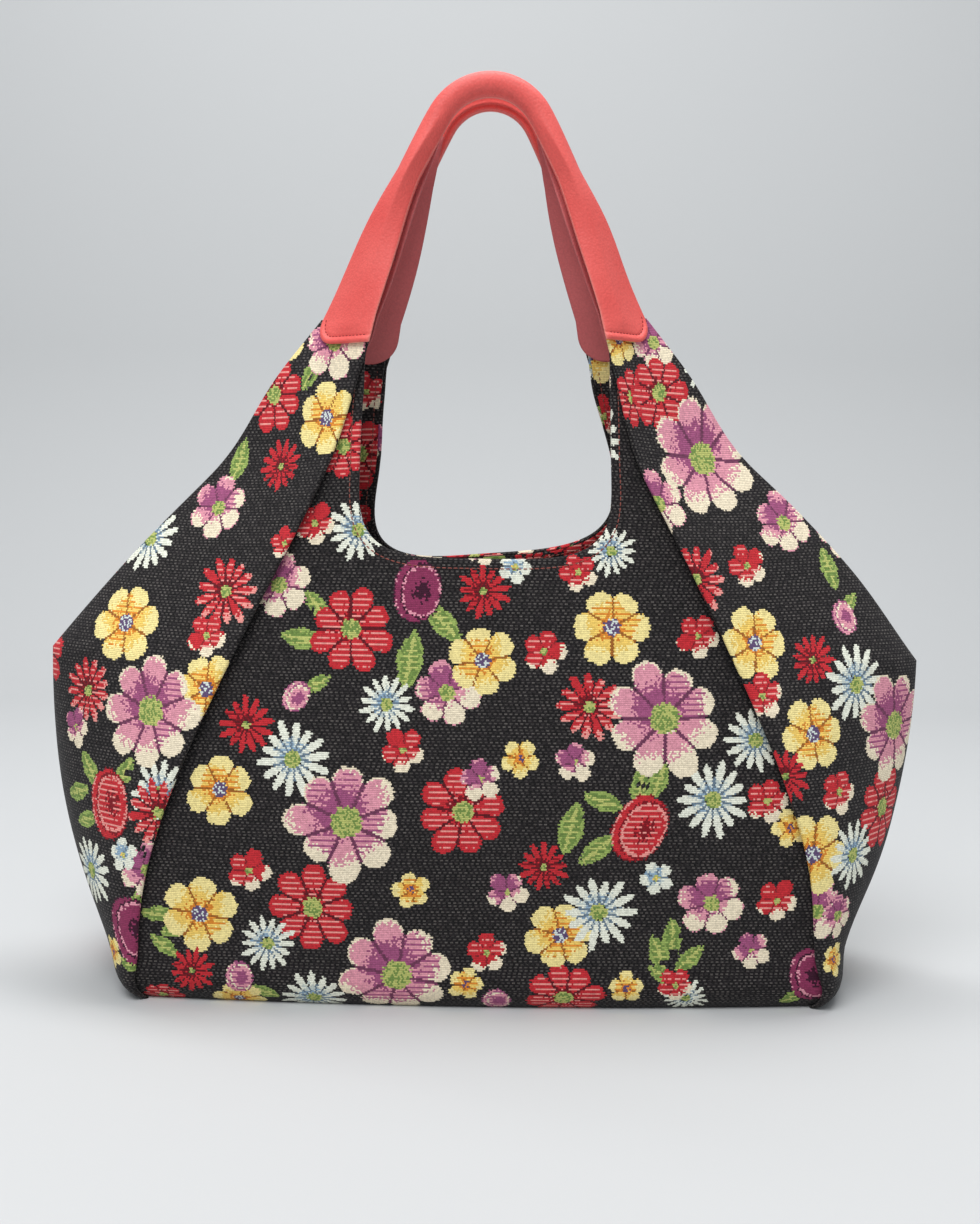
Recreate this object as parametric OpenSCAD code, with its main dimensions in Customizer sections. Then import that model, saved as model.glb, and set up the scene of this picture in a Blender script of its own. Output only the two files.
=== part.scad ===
// Tapestry shoulder tote: a tucked front and back panel sewn to a flat base,
// drawn up into four ears that carry two padded leather handles.
// X runs across the front, the front faces -Y, and the base rests on Z = 0.

/* [Body] */
// Width of the base across the front
base_w = 384; // [350:2:420]
// Depth of the base from front to back
base_d = 124; // [104:2:150]
// Width across the side points, the widest part of the bag
shoulder_w = 480; // [454:2:514]
// Height of the side points above the floor
shoulder_z = 178; // [156:2:200]
// Radius of the rolled edge round the base
bottom_r = 14; // [8:1:20]
// Thickness of the lined tapestry cloth
fabric_t = 1.6; // [1:0.1:2.2]

/* [Mouth and ears] */
// Height of the lowest point of the mouth
mouth_z = 231; // [212:1:248]
// Width of the U-shaped mouth
mouth_w = 138; // [128:1:148]
// Height of the rounded foot of the U
mouth_r = 56; // [42:1:68]
// Height of the ear tops
ear_z = 359; // [334:1:386]
// Distance between the outer edges of the two ears at their tops
ear_span = 182; // [168:1:196]
// Distance between the inner edges of the two ears at their tops
ear_gap = 122; // [112:1:130]
// Depth across the front and back ears at their tops
ear_d = 42; // [36:1:52]
// How far the back ears hang further in than the front ones
ear_draw = 9; // [0:1:14]
// How far the front swells out between the tucks
front_swell = 8; // [0:1:14]

/* [Tucks] */
// Distance from the foot of a tuck to the side of the base
tuck_foot_inset = 10; // [9:1:18]
// Air left between the folded layers
tuck_air = 0.5; // [0.3:0.1:1]
// Depth of the fold, as an angle round the side of the bag
tuck_turn = 30; // [22:1:40]

/* [Lining] */
// Thickness of the lining cloth
lining_t = 0.8; // [0.5:0.1:1.2]
// Thickness of the tapestry facing inside the mouth
facing_t = 1.2; // [0.8:0.1:1.6]
// Room between the outer cloth and the facing or lining, where the snap washers sit
lining_room = 1.3; // [1.2:0.1:2]
// Share of the bag's height that the lining covers before the facing takes over
facing_from = 0.8; // [0.7:0.01:0.88]
// Thickness of the stiff board in the base
board_t = 2; // [1:0.5:3]
// Width of the slip pocket
pocket_w = 150; // [100:2:180]
// Height of the slip pocket's lower edge
pocket_z = 55; // [40:1:70]
// Depth of the slip pocket
pocket_h = 105; // [80:1:120]

/* [Handles] */
// Diameter of the rolled part of a handle
handle_dia = 13; // [11:0.5:16]
// Height of the handles' arches
handle_z = 487; // [450:1:534]
// Radius of a handle's arch
arch_r = 34; // [29:1:39]
// Distance between the middles of the two handles at their arches
handle_pitch = 25; // [22:1:40]
// Thickness of the handle leather
leather_t = 1.6; // [1.2:0.1:2]
// Width of the flat tab that is sewn to an ear
tab_w = 34.5; // [29:0.5:39]
// Thickness of the flat tab
tab_t = 2.2; // [1.8:0.1:3]
// Distance that the tab and its backing reach past the inner edge of an ear
tab_lap = 2.5; // [0:0.5:5]
// Overlap of the tab on the outside of an ear
tab_overlap = 14; // [12:1:24]
// Radius of the tab's lower outer corner
tab_corner_r = 9; // [3:0.5:11]
// Further drop of the leather backing inside an ear
backing_drop = 6; // [0:1:12]

/* [Snap] */
// Diameter of the magnetic snap
snap_dia = 18; // [14:0.5:20]
// Thickness of the socket half
snap_socket_t = 3.6; // [3:0.1:5]
// Thickness of the stud half's plate
snap_stud_t = 2; // [1.5:0.1:3]
// Diameter of the stud
snap_pin_dia = 6; // [4:0.5:8]
// Depth of the snap's middle below the edge of the mouth
snap_drop = 20; // [16:1:30]

/* [Hidden] */

tapestry = [0.11, 0.10, 0.10];
lining_red = [0.45, 0.10, 0.12];
leather_red = [0.84, 0.24, 0.24];
cord_white = [0.90, 0.87, 0.80];
board_grey = [0.62, 0.60, 0.56];
nickel = [0.78, 0.77, 0.74];

seat = 0.25;              // clearance where one piece lies on another
strap_seat = 0.5;         // clearance of the leather straps, which lie on the cloth's facets
washer_t = 0.5;
roll_share = 0.7;         // how far the base edge rolls under, 1 being a full quarter turn
mouth_power = 4;          // squareness of the U of the mouth
arch_turn = 54;           // half the angle of the round part of the arch
leg_bow = 0.12;           // how far up a leg its straight lower run points
rolled_from = 0.85;       // share of a leg's rise over which it closes into a roll
ear_in = ear_gap / 2;
ear_out = ear_span / 2;
backing_h = tab_overlap + backing_drop;
straight_z = ear_z - backing_h;
tuck_foot = base_w / 2 - tuck_foot_inset;
side_curve = 0.75;        // fullness of the sides between the base and the side points
tuck_curve = 2;           // fullness of the upper part of the tuck's line
tuck_wave = 0.66;         // how much of an S the tuck's line is
arch_draw = 0.3;          // share of ear_draw that is left at the top of the back handle
layer = fabric_t + tuck_air;
front_k = 2 * layer;      // the front between the tucks lies this far inside the tuck's edge
inside_k = front_k + fabric_t;
facing_k = inside_k + lining_room;
lining_k = facing_k;
lining_in = lining_k + lining_t + seat;
base_top = fabric_t + seat + board_t + seat;

// Shape of the bag, as functions of height

function lerp(a, b, t) = a + (b - a) * t;
function clamp01(t) = min(1, max(0, t));
function smooth(t) = let (u = clamp01(t)) u * u * (3 - 2 * u);

// Half the width to the side seam: a full curve up to the side point, then a straight run to the ear
function half_w(z) = z < shoulder_z
    ? lerp(base_w / 2, shoulder_w / 2, pow(sin(90 * clamp01(z / shoulder_z)), side_curve))
    : lerp(shoulder_w / 2, ear_out, (z - shoulder_z) / (ear_z - shoulder_z));

// Half the depth at the tuck's edge, closing towards the ears
function half_d(z) = let (s = clamp01(z / ear_z))
    lerp(ear_d / 2, base_d / 2, 1 - (pow(s, 2.4) + smooth((s - 0.2) / 0.8)) / 2);

// Distance of the tuck's edge from the middle: an S from the base corner to the ear's inner edge
function tuck_x(z) = let (s = clamp01(z / ear_z))
    lerp(ear_in, tuck_foot, lerp(1 - pow(s, tuck_curve), (1 + cos(180 * s)) / 2, tuck_wave));

// Roundness of the side wrap in plan: 2 is an ellipse at the base, 1 the straight top of an ear
function roundness(z) = 1 + pow(1 - clamp01(z / straight_z), 1.5);

// Inset of the rolled edge round the base
function roll(z) = z < bottom_r
    ? bottom_r * (1 - sqrt(1 - roll_share * pow(1 - z / bottom_r, 2))) : 0;

function swell(x, z) = let (edge = tuck_x(z) - roll(z))
    front_swell * (1 - pow(clamp01(z / ear_z), 2) / 2) * (1 - pow(min(1, x / edge), 2));

// A point of the side wrap, from the tuck's edge (0) to the side seam (90), k inside the outer face
function wrap_pt(z, turn, k) = let (edge = tuck_x(z) - roll(z), power = 2 / roundness(z))
    [edge + (half_w(z) - roll(z) - k - edge) * pow(sin(turn), power),
     -(half_d(z) - roll(z) - k) * pow(cos(turn), power), z];

// The same, at a short distance in from the tuck's edge
function wrap_in(z, reach, k) = let (edge = tuck_x(z) - roll(z), power = roundness(z),
        across = half_w(z) - roll(z) - k - edge, step = min(reach, 0.3 * across))
    [edge + step, -(half_d(z) - roll(z) - k) * pow(1 - pow(step / across, power), 1 / power), z];

// A point of the front between the tucks
function front_pt(xz, k) =
    [xz[0], -(half_d(xz[1]) - roll(xz[1]) - k + swell(xz[0], xz[1])), xz[1]];

// Edge of the mouth, from the middle of the U (0) to the top of the ear (1)
function mouth_xz(c) = c < 0.5
    ? [mouth_w / 2 * pow(sin(180 * c), 2 / mouth_power),
       mouth_z + mouth_r * (1 - pow(cos(180 * c), 2 / mouth_power))]
    : let (t = 2 * c - 1)
      [lerp(mouth_w / 2, ear_in, t * t), lerp(mouth_z + mouth_r, ear_z, t)];

function row_z(v) = lerp(bottom_r, ear_z, v);

// Place on the front between its four edges: middle, tuck, rolled base edge and mouth
function front_xz(c, v) = let (
        low = [c * tuck_x(bottom_r), bottom_r], high = mouth_xz(c),
        mid = [0, lerp(bottom_r, mouth_z, v)], side = [tuck_x(row_z(v)), row_z(v)],
        mid_low = [0, bottom_r], mid_high = [0, mouth_z],
        side_low = [tuck_x(bottom_r), bottom_r], side_high = [ear_in, ear_z])
    (1 - v) * low + v * high + (1 - c) * mid + c * side
    - (1 - c) * ((1 - v) * mid_low + v * mid_high) - c * ((1 - v) * side_low + v * side_high);

// Rows are heights below the rolled edge, given as z, or shares of the height above it, given as v
function row_below(c, z) = [c * (tuck_x(z) - roll(z)), z];

// Grids of points and the solids made from them

function flip_x(p) = [-p[0], p[1], p[2]];
function flip_y(p) = [p[0], -p[1], p[2]];

// Where a point hangs when the ears and handle above the mouth are drawn in by a distance.
// The side seam, where the depth is nothing, stays.
function hang(p, draw) = let (
        rise = smooth((p[2] - mouth_z) / (ear_z - mouth_z)),
        fall = lerp(1, arch_draw, clamp01((p[2] - ear_z) / (handle_z - ear_z))),
        across = max(-1, min(1, p[0] / ear_in)), deep = smooth(2 * abs(p[1]) / ear_d))
    [p[0] - draw * rise * fall * across * deep, p[1], p[2]];

// A full row from its right half, whose first point is on the middle line
function both_sides(half) =
    [for (i = [len(half) - 1:-1:1]) flip_x(half[i]), for (p = half) p];

// Closed sheet between an outer and an inner grid of points, given as rows
module sheet(outer, inner, draw = 0) {
    rows = len(outer);
    cols = len(outer[0]);
    n = rows * cols;
    points = [for (r = outer) for (p = r) hang(p, draw), for (r = inner) for (p = r) hang(p, draw)];
    function at(i, j) = i * cols + j;
    faces = [
        for (i = [0:rows - 2]) for (j = [0:cols - 2]) each [
            [at(i, j), at(i + 1, j), at(i + 1, j + 1)], [at(i, j), at(i + 1, j + 1), at(i, j + 1)],
            [n + at(i, j), n + at(i + 1, j + 1), n + at(i + 1, j)],
            [n + at(i, j), n + at(i, j + 1), n + at(i + 1, j + 1)]],
        for (j = [0:cols - 2]) each [
            [at(0, j), at(0, j + 1), n + at(0, j + 1)], [at(0, j), n + at(0, j + 1), n + at(0, j)],
            [at(rows - 1, j), n + at(rows - 1, j + 1), at(rows - 1, j + 1)],
            [at(rows - 1, j), n + at(rows - 1, j), n + at(rows - 1, j + 1)]],
        for (i = [0:rows - 2]) each [
            [at(i, 0), n + at(i + 1, 0), at(i + 1, 0)], [at(i, 0), n + at(i, 0), n + at(i + 1, 0)],
            [at(i, cols - 1), at(i + 1, cols - 1), n + at(i + 1, cols - 1)],
            [at(i, cols - 1), n + at(i + 1, cols - 1), n + at(i, cols - 1)]]];
    polyhedron(points, faces, convexity = 8);
}

// Closed tube through a list of rings of points
module loft(rings, draw = 0) {
    sides = len(rings[0]);
    last = len(rings) - 1;
    points = [for (r = rings) for (p = r) hang(p, draw)];
    faces = [
        for (i = [0:last - 1]) for (j = [0:sides - 1]) let (k = (j + 1) % sides) each [
            [i * sides + j, i * sides + k, (i + 1) * sides + k],
            [i * sides + j, (i + 1) * sides + k, (i + 1) * sides + j]],
        [for (j = [sides - 1:-1:0]) j],
        [for (j = [0:sides - 1]) last * sides + j]];
    polyhedron(points, faces, convexity = 8);
}

// Tucked outer panels

front_cols = [0, 0.08, 0.16, 0.23, 0.3, 0.37, 0.44, 0.52, 0.65, 0.82, 1];
side_turns = [15, 30, 45, 60, 75, 90];
rolled_zs = [for (t = [0, 0.3, 0.65]) t * bottom_r];
shoulder_v = (shoulder_z - bottom_r) / (ear_z - bottom_r);
straight_v = (straight_z - bottom_r) / (ear_z - bottom_r);
panel_vs = [for (i = [0:5]) shoulder_v * i / 6, for (i = [0:7]) lerp(shoulder_v, straight_v, i / 7), 1];

// Right half of one row of the panel's face. The front runs under the tuck, folds back to the
// tuck's edge and goes on round the side, as one sheet. "under", "back" and "edge" are the depths
// of the three layers on this face of the sheet. "turn" is where the under layer folds back, and
// "reach" how far from the tuck's edge the back layer folds forward.
function tucked_row(z, xzs, under, back, edge, reach, turn) = concat(
    [for (xz = xzs) front_pt(xz, under)],
    [for (a = [turn / 2, turn]) wrap_pt(z, a, under)],
    [for (a = [turn, turn / 2]) wrap_pt(z, a, back)],
    [wrap_in(z, reach, back), wrap_in(z, reach, edge)],
    [for (a = side_turns) wrap_pt(z, a, edge)]);

function tucked_face(under, back, edge, reach, turn) = concat(
    [for (z = rolled_zs)
        both_sides(tucked_row(z, [for (c = front_cols) row_below(c, z)], under, back, edge, reach, turn))],
    [for (v = panel_vs)
        both_sides(tucked_row(row_z(v), [for (c = front_cols) front_xz(c, v)],
            under, back, edge, reach, turn))]);

module tucked_panel(draw) {
    fold = 3;   // half the angle between the inside and the outside of the fold
    color(tapestry) sheet(
        tucked_face(front_k, layer + fabric_t, 0, 0, tuck_turn - fold),
        tucked_face(inside_k, layer, fabric_t, fabric_t, tuck_turn + fold), draw);
}

module front_panel() tucked_panel(0);
module back_panel() mirror([0, 1, 0]) tucked_panel(ear_draw);

// Base

base_cols = [0, 0.25, 0.5, 0.75, 1];
fold_turns = [12, 24, 36];
base_turns = [48, 62, 76, 90];

// Outline of a flat piece inside the rolled edge: front_in inside the tuck's edge along the front
// and at the folded corners, and side_in inside it along the single layer of the sides
module base_outline(front_in, side_in) {
    half = concat([for (c = base_cols) front_pt(row_below(c, 0), front_in)],
        [for (a = fold_turns) wrap_pt(0, a, front_in)], [for (a = base_turns) wrap_pt(0, a, side_in)]);
    front = both_sides(half);
    outline = concat(front, [for (i = [len(front) - 2:-1:1]) flip_y(front[i])]);
    polygon([for (p = outline) [p[0], p[1]]]);
}

module base_panel() color(tapestry)
    linear_extrude(fabric_t) base_outline(inside_k + seat, fabric_t + seat);

module base_board() color(board_grey)
    translate([0, 0, fabric_t + seat]) linear_extrude(board_t)
        base_outline(inside_k + 2 * seat, fabric_t + 2 * seat);

module base_lining() color(lining_red)
    translate([0, 0, base_top]) linear_extrude(lining_t) base_outline(lining_in, lining_in);

// Facing and lining

inner_cols = [0, 0.13, 0.22, 0.3, 0.4, 0.55, 0.75, 1];
inner_turns = [15, 30, 45, 60, 75, 90];
facing_vs = [for (i = [0:2]) lerp(facing_from, straight_v, i / 2), 1];
lining_vs = [for (i = [0:8]) facing_from * i / 8];
lining_low_z = base_top;

function inner_row(z, xzs, k) = both_sides(concat(
    [for (xz = xzs) front_pt(xz, k)], [for (a = inner_turns) wrap_pt(z, a, k)]));
function inner_rows(vs, k) =
    [for (v = vs) inner_row(row_z(v), [for (c = inner_cols) front_xz(c, v)], k)];
function lining_face(k) = concat(
    [inner_row(lining_low_z, [for (c = inner_cols) row_below(c, lining_low_z)], k)],
    inner_rows(lining_vs, k));

module facing(draw) color(tapestry)
    sheet(inner_rows(facing_vs, facing_k), inner_rows(facing_vs, facing_k + facing_t), draw);
module front_facing() facing(0);
module back_facing() mirror([0, 1, 0]) facing(ear_draw);

module lining(draw) color(lining_red)
    sheet(lining_face(lining_k), lining_face(lining_k + lining_t), draw);
module front_lining() lining(0);
module back_lining() mirror([0, 1, 0]) lining(ear_draw);

// Slip pocket on the back lining

pocket_steps = 4;
function pocket_face(k) = [for (i = [0:pocket_steps]) let (z = pocket_z + pocket_h * i / pocket_steps)
    both_sides([for (j = [0:pocket_steps]) front_pt([pocket_w / 2 * j / pocket_steps, z], k)])];

module slip_pocket() color(lining_red)
    mirror([0, 1, 0]) sheet(pocket_face(lining_in), pocket_face(lining_in + lining_t));

// Handles

ring_sides = 14;
core_sides = 10;
tab_steps = [0, 0.08, 0.22, 0.45, 1];
leg_steps = 8;
arch_steps = 5;
core_gap = 0.01;          // share of a leg left free at each end of the cord
backing_share = 0.75;     // width of the backing over the tab's
backing_reach = 0.6;      // share of a leg's rise that the backing covers
backing_tip = 4;          // width of the backing's upper end
backing_taper = 1.6;      // how long the backing keeps its width before it narrows
backing_steps = 6;
arch_y = handle_pitch / 2;
handle_r = handle_dia / 2;

// The ear's line in plan at height z, k inside its face: [inner end, direction, outward normal, length]
function ear_line(z, k) = let (a = wrap_pt(z, 0, k), d = wrap_pt(z, 90, k) - a, along = d / norm(d))
    [a, along, [along[1], -along[0], 0], norm(d)];

// Flat oval ring. "square" is 2 for an ellipse and more for a flat strap
function ring(mid, wide, thick, half_wide, half_thick, square, sides) = [for (i = [0:sides - 1])
    let (a = 360 * i / sides, c = cos(a), s = sin(a))
    mid + wide * half_wide * sign(c) * pow(abs(c), 2 / square)
        + thick * half_thick * sign(s) * pow(abs(s), 2 / square)];

// Width lost to the rounded lower corner at a rise above the tab's end
function corner_cut(rise) = rise >= tab_corner_r ? 0
    : tab_corner_r - sqrt(pow(tab_corner_r, 2) - pow(tab_corner_r - rise, 2));

// Half the width of a strap that covers a share of the ear's line and laps past its inner end
function strap_half(line, share) = share * min(tab_w, line[3] + tab_lap) / 2;

// Flat strap along the ear's line, from past its inner end: side 1 is outside the ear and -1 inside
function strap_ring(z, rise, k, side, share, thickness) = let (
        line = ear_line(z, k), half = strap_half(line, share) - corner_cut(rise) / 2)
    ring(line[0] + line[1] * (half - tab_lap) + line[2] * side * (strap_seat + thickness / 2),
        line[1], line[2], half, thickness / 2, 6, ring_sides);

function tab_ring(t) = strap_ring(ear_z - tab_overlap * (1 - t), tab_overlap * t, 0, 1, 1, tab_t);

// Leg and arch: the strap closes into a roll as it rises, bows inwards and runs into a round arch
tab_line = ear_line(ear_z, 0);
tab_half = strap_half(tab_line, 1);
tab_mid = tab_line[0] + tab_line[1] * (tab_half - tab_lap) + tab_line[2] * (strap_seat + tab_t / 2);
arch_z = handle_z - handle_r - arch_r;
leg_top = [arch_r * sin(arch_turn), -arch_y, arch_z + arch_r * cos(arch_turn)];
leg_knee = leg_top + leg_bow * norm(leg_top - tab_mid) * [cos(arch_turn), 0, -sin(arch_turn)];

// Place along a handle: 0 at the ear's top, 1 where the arch begins and 2 at the top of the arch
function handle_pt(p) = p <= 1
    ? let (q = 1 - p, flat = q * q * tab_mid + 2 * q * p * leg_knee + p * p * leg_top)
      [flat[0], lerp(tab_mid[1], -arch_y, smooth(p)), flat[2]]
    : let (a = arch_turn * (2 - p)) [arch_r * sin(a), -arch_y, arch_z + arch_r * cos(a)];
function rolled(p) = smooth(p / rolled_from);
function handle_frame(p) = let (
        step = 0.02, t = handle_pt(min(2, p + step)) - handle_pt(max(0, p - step)),
        along = p == 2 ? [-1, 0, 0] : t / norm(t), out = lerp(tab_line[2], [0, -1, 0], smooth(p)),
        flat = out - along * (out * along), thick = flat / norm(flat))
    [cross(along, thick), thick];
function half_thick(p) = lerp(tab_t / 2, handle_r, rolled(p));
function half_wide(p) = lerp(tab_half, handle_r, clamp01(p / rolled_from));
function leg_ring(p, inset, sides) = let (f = handle_frame(p))
    ring(handle_pt(p), f[0], f[1], half_wide(p) - inset, half_thick(p) - inset, lerp(6, 2, rolled(p)), sides);

leg_places = [for (i = [1:leg_steps]) i / leg_steps, for (i = [1:arch_steps]) 1 + i / arch_steps];
core_places = [for (p = leg_places) if (half_thick(p) > 2.5 * leather_t) p];

function mirrored_rings(half) = concat(half,
    [for (i = [len(half) - 2:-1:0]) [for (p = half[i]) flip_x(p)]]);
function handle_rings() = mirrored_rings(concat(
    [for (t = tab_steps) tab_ring(t)], [for (p = leg_places) leg_ring(p, 0, ring_sides)]));
function core_rings(inset, end_gap) = mirrored_rings(
    [for (p = core_places) leg_ring(max(p, core_places[0] + end_gap), inset, core_sides)]);

module handle(draw) color(leather_red) difference() {
    loft(handle_rings(), draw);
    loft(core_rings(leather_t, 0), draw);
}
module front_handle() handle(0);
module back_handle() mirror([0, 1, 0]) handle(ear_draw);

module handle_core(draw) color(cord_white) loft(core_rings(leather_t + seat, core_gap), draw);
module front_handle_core() handle_core(0);
module back_handle_core() mirror([0, 1, 0]) handle_core(ear_draw);

// Leather backing, narrower than the tab so that it clears the opposite ear. It lies inside the ear
// and goes on up the leg's inner face, where it narrows to a tip.

backing_line = ear_line(ear_z, facing_k + facing_t);
backing_half = strap_half(backing_line, backing_share);
backing_top = backing_line[0] + backing_line[1] * (backing_half - tab_lap)
    - backing_line[2] * (strap_seat + leather_t / 2);
function backing_ring(t) = strap_ring(ear_z - backing_h * (1 - t), backing_h * t,
    facing_k + facing_t, -1, backing_share, leather_t);

// Ring of the backing at a place along the leg, closing on the leg as it rises
function backing_leg_ring(p) = let (f = handle_frame(p), close = smooth(p / backing_reach),
        half = lerp(backing_half, backing_tip / 2, pow(p / backing_reach, backing_taper)),
        on_leg = handle_pt(p) - f[1] * (half_thick(p) + strap_seat + leather_t / 2)
            - f[0] * (half_wide(p) - half) * (1 - close / 2),
        free = backing_top + handle_pt(p) - tab_mid,
        wide = lerp(backing_line[1], f[0], close), thick = lerp(backing_line[2], f[1], close))
    ring(lerp(free, on_leg, close), wide / norm(wide), thick / norm(thick), half, leather_t / 2,
        6, ring_sides);

module backing(draw) color(leather_red) loft(concat([for (t = tab_steps) backing_ring(t)],
    [for (i = [1:backing_steps]) backing_leg_ring(backing_reach * i / backing_steps)]), draw);
module front_right_backing() backing(0);
module front_left_backing() mirror([1, 0, 0]) backing(0);
module back_right_backing() mirror([0, 1, 0]) backing(ear_draw);
module back_left_backing() mirror([1, 0, 0]) mirror([0, 1, 0]) backing(ear_draw);

// Magnetic snap on the facings

snap_z = mouth_z - snap_drop;
function facing_y(z, k) = front_pt([0, z], k)[1];
facing_lean = atan2(facing_y(snap_z + snap_dia / 2, 0) - facing_y(snap_z - snap_dia / 2, 0), snap_dia);

// Stands a piece made along +Z on the front facing, k inside the tuck's edge, pointing into the bag
module on_facing(k) translate([0, facing_y(snap_z, k), snap_z]) rotate([-90 - facing_lean, 0, 0]) children();

snap_seat = seat + facing_t;
pin_room = 0.2;
washer_hole_dia = 5;

module snap_socket() color(nickel) on_facing(facing_k + snap_seat) difference() {
    cylinder(d = snap_dia, h = snap_socket_t, $fn = 48);
    translate([0, 0, snap_socket_t / 3]) cylinder(d = snap_pin_dia + 2 * pin_room, h = snap_socket_t, $fn = 48);
}

module snap_stud() color(nickel) mirror([0, 1, 0]) on_facing(facing_k + snap_seat) {
    cylinder(d = snap_dia, h = snap_stud_t, $fn = 48);
    cylinder(d = snap_pin_dia, h = snap_stud_t + snap_socket_t / 2, $fn = 48);
}

module snap_washer() color(nickel) on_facing(inside_k + (lining_room - washer_t) / 2) difference() {
    cylinder(d = snap_dia, h = washer_t, $fn = 48);
    translate([0, 0, -1]) cylinder(d = washer_hole_dia, h = washer_t + 2, $fn = 48);
}
module snap_socket_washer() snap_washer();
module snap_stud_washer() mirror([0, 1, 0]) snap_washer();

front_panel();
back_panel();
base_panel();
base_board();
front_facing();
back_facing();
front_lining();
back_lining();
base_lining();
slip_pocket();
front_handle();
back_handle();
front_handle_core();
back_handle_core();
front_left_backing();
front_right_backing();
back_left_backing();
back_right_backing();
snap_socket();
snap_stud();
snap_socket_washer();
snap_stud_washer();
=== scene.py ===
"""Looks of a floral tapestry tote with rolled leather handles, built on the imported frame.

Lengths are in metres, in the frame's own axes: +X across the front, the front faces -Y, +Z up.
"""
import math

import bpy
import numpy as np
from mathutils import Matrix


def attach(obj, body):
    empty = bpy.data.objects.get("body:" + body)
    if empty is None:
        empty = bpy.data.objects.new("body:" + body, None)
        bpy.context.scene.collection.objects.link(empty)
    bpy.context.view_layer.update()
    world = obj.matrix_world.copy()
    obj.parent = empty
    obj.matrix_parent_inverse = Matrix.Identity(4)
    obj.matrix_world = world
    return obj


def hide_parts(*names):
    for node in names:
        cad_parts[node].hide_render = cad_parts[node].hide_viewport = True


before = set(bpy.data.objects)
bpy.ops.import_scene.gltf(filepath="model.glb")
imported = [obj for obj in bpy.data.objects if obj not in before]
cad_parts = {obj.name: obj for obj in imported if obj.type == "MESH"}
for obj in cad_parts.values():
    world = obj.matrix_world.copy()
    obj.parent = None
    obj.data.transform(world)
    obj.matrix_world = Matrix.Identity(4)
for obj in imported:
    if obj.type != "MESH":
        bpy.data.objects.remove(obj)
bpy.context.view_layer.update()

MM = 0.001

# Driving sizes of the bag. They are the solids' own, apart from the straps, which were fitted later.

BASE_W = 384 * MM
BASE_D = 124 * MM
SHOULDER_W = 480 * MM
SHOULDER_Z = 178 * MM
BOTTOM_R = 14 * MM
FABRIC_T = 1.6 * MM
MOUTH_Z = 231 * MM
MOUTH_W = 138 * MM
MOUTH_R = 56 * MM
EAR_Z = 359 * MM
EAR_SPAN = 182 * MM
EAR_GAP = 122 * MM
EAR_D = 42 * MM
EAR_DRAW = 9 * MM
FRONT_SWELL = 8 * MM
TUCK_FOOT = BASE_W / 2 - 10 * MM
TUCK_AIR = 0.5 * MM
TUCK_TURN = 30
LINING_T = 0.8 * MM
FACING_T = 1.2 * MM
LINING_ROOM = 1.3 * MM
FACING_FROM = 0.8
POCKET_W = 150 * MM
POCKET_Z = 55 * MM
POCKET_H = 105 * MM
BOARD_T = 2 * MM
HANDLE_R = 6.5 * MM
HANDLE_Z = 487 * MM
ARCH_R = 29.8 * MM
ARCH_Y = 12.5 * MM
LEATHER_T = 1.6 * MM
TAB_W = 36.5 * MM
TAB_LAP = 3.5 * MM
TAB_T = 2.2 * MM
TAB_OVERLAP = 14 * MM
TAB_CORNER_W = 12 * MM
TAB_CORNER_H = 13 * MM
BACKING_H = 22 * MM
SNAP_DIA = 18 * MM
SNAP_Z = MOUTH_Z - 20 * MM
SEAT = 0.25 * MM
STRAP_SEAT = 0.5 * MM
ROLL_SHARE = 0.7
MOUTH_POWER = 4
SIDE_CURVE = 0.75
TUCK_CURVE = 2
TUCK_WAVE = 0.66
ARCH_DRAW = 0.3
BACKING_SHARE = 0.95
BACKING_REACH = 0.8
ARCH_TURN = math.radians(54)
LEG_BOW = 0.12
ROLLED_FROM = 0.6
NARROW_FROM = 0.5
EAR_IN = EAR_GAP / 2
EAR_OUT = EAR_SPAN / 2
STRAIGHT_Z = EAR_Z - 20 * MM
LAYER = FABRIC_T + TUCK_AIR
FRONT_K = 2 * LAYER
INSIDE_K = FRONT_K + FABRIC_T
FACING_K = INSIDE_K + LINING_ROOM
LINING_IN = FACING_K + LINING_T + SEAT
BASE_TOP = FABRIC_T + SEAT + BOARD_T + SEAT
FLAP_LIFT = 3.2 * MM           # how far a tuck's free edge stands off the front at most
FLAP_REACH = 22                # degrees of the side wrap in which that falls away
FACES = (("front", 1), ("back", -1))


# Shape of the bag as functions of height, on arrays

def lerp(a, b, t):
    return a + (b - a) * t


def smooth(t):
    u = np.clip(t, 0, 1)
    return u * u * (3 - 2 * u)


def half_w(z):
    low = lerp(BASE_W / 2, SHOULDER_W / 2, np.sin(np.pi / 2 * np.clip(z / SHOULDER_Z, 0, 1)) ** SIDE_CURVE)
    high = lerp(SHOULDER_W / 2, EAR_OUT, (z - SHOULDER_Z) / (EAR_Z - SHOULDER_Z))
    return np.where(z < SHOULDER_Z, low, high)


def half_d(z):
    s = np.clip(z / EAR_Z, 0, 1)
    return lerp(EAR_D / 2, BASE_D / 2, 1 - (s ** 2.4 + smooth((s - 0.2) / 0.8)) / 2)


def tuck_x(z):
    s = np.clip(z / EAR_Z, 0, 1)
    return lerp(EAR_IN, TUCK_FOOT, lerp(1 - s ** TUCK_CURVE, (1 + np.cos(np.pi * s)) / 2, TUCK_WAVE))


def roundness(z):
    return 1 + (1 - np.clip(z / STRAIGHT_Z, 0, 1)) ** 1.5


def roll(z):
    under = 1 - np.clip(z / BOTTOM_R, 0, 1)
    return BOTTOM_R * (1 - np.sqrt(1 - ROLL_SHARE * under ** 2))


def swell(x, z):
    edge = tuck_x(z) - roll(z)
    return FRONT_SWELL * (1 - np.clip(z / EAR_Z, 0, 1) ** 2 / 2) * (1 - np.minimum(1, x / edge) ** 2)


def flap_lift(z):
    """How far the tuck's free edge stands off the front, most at half height."""
    return FLAP_LIFT * np.sin(np.pi * np.clip(z / EAR_Z, 0, 1)) ** 1.5


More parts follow.
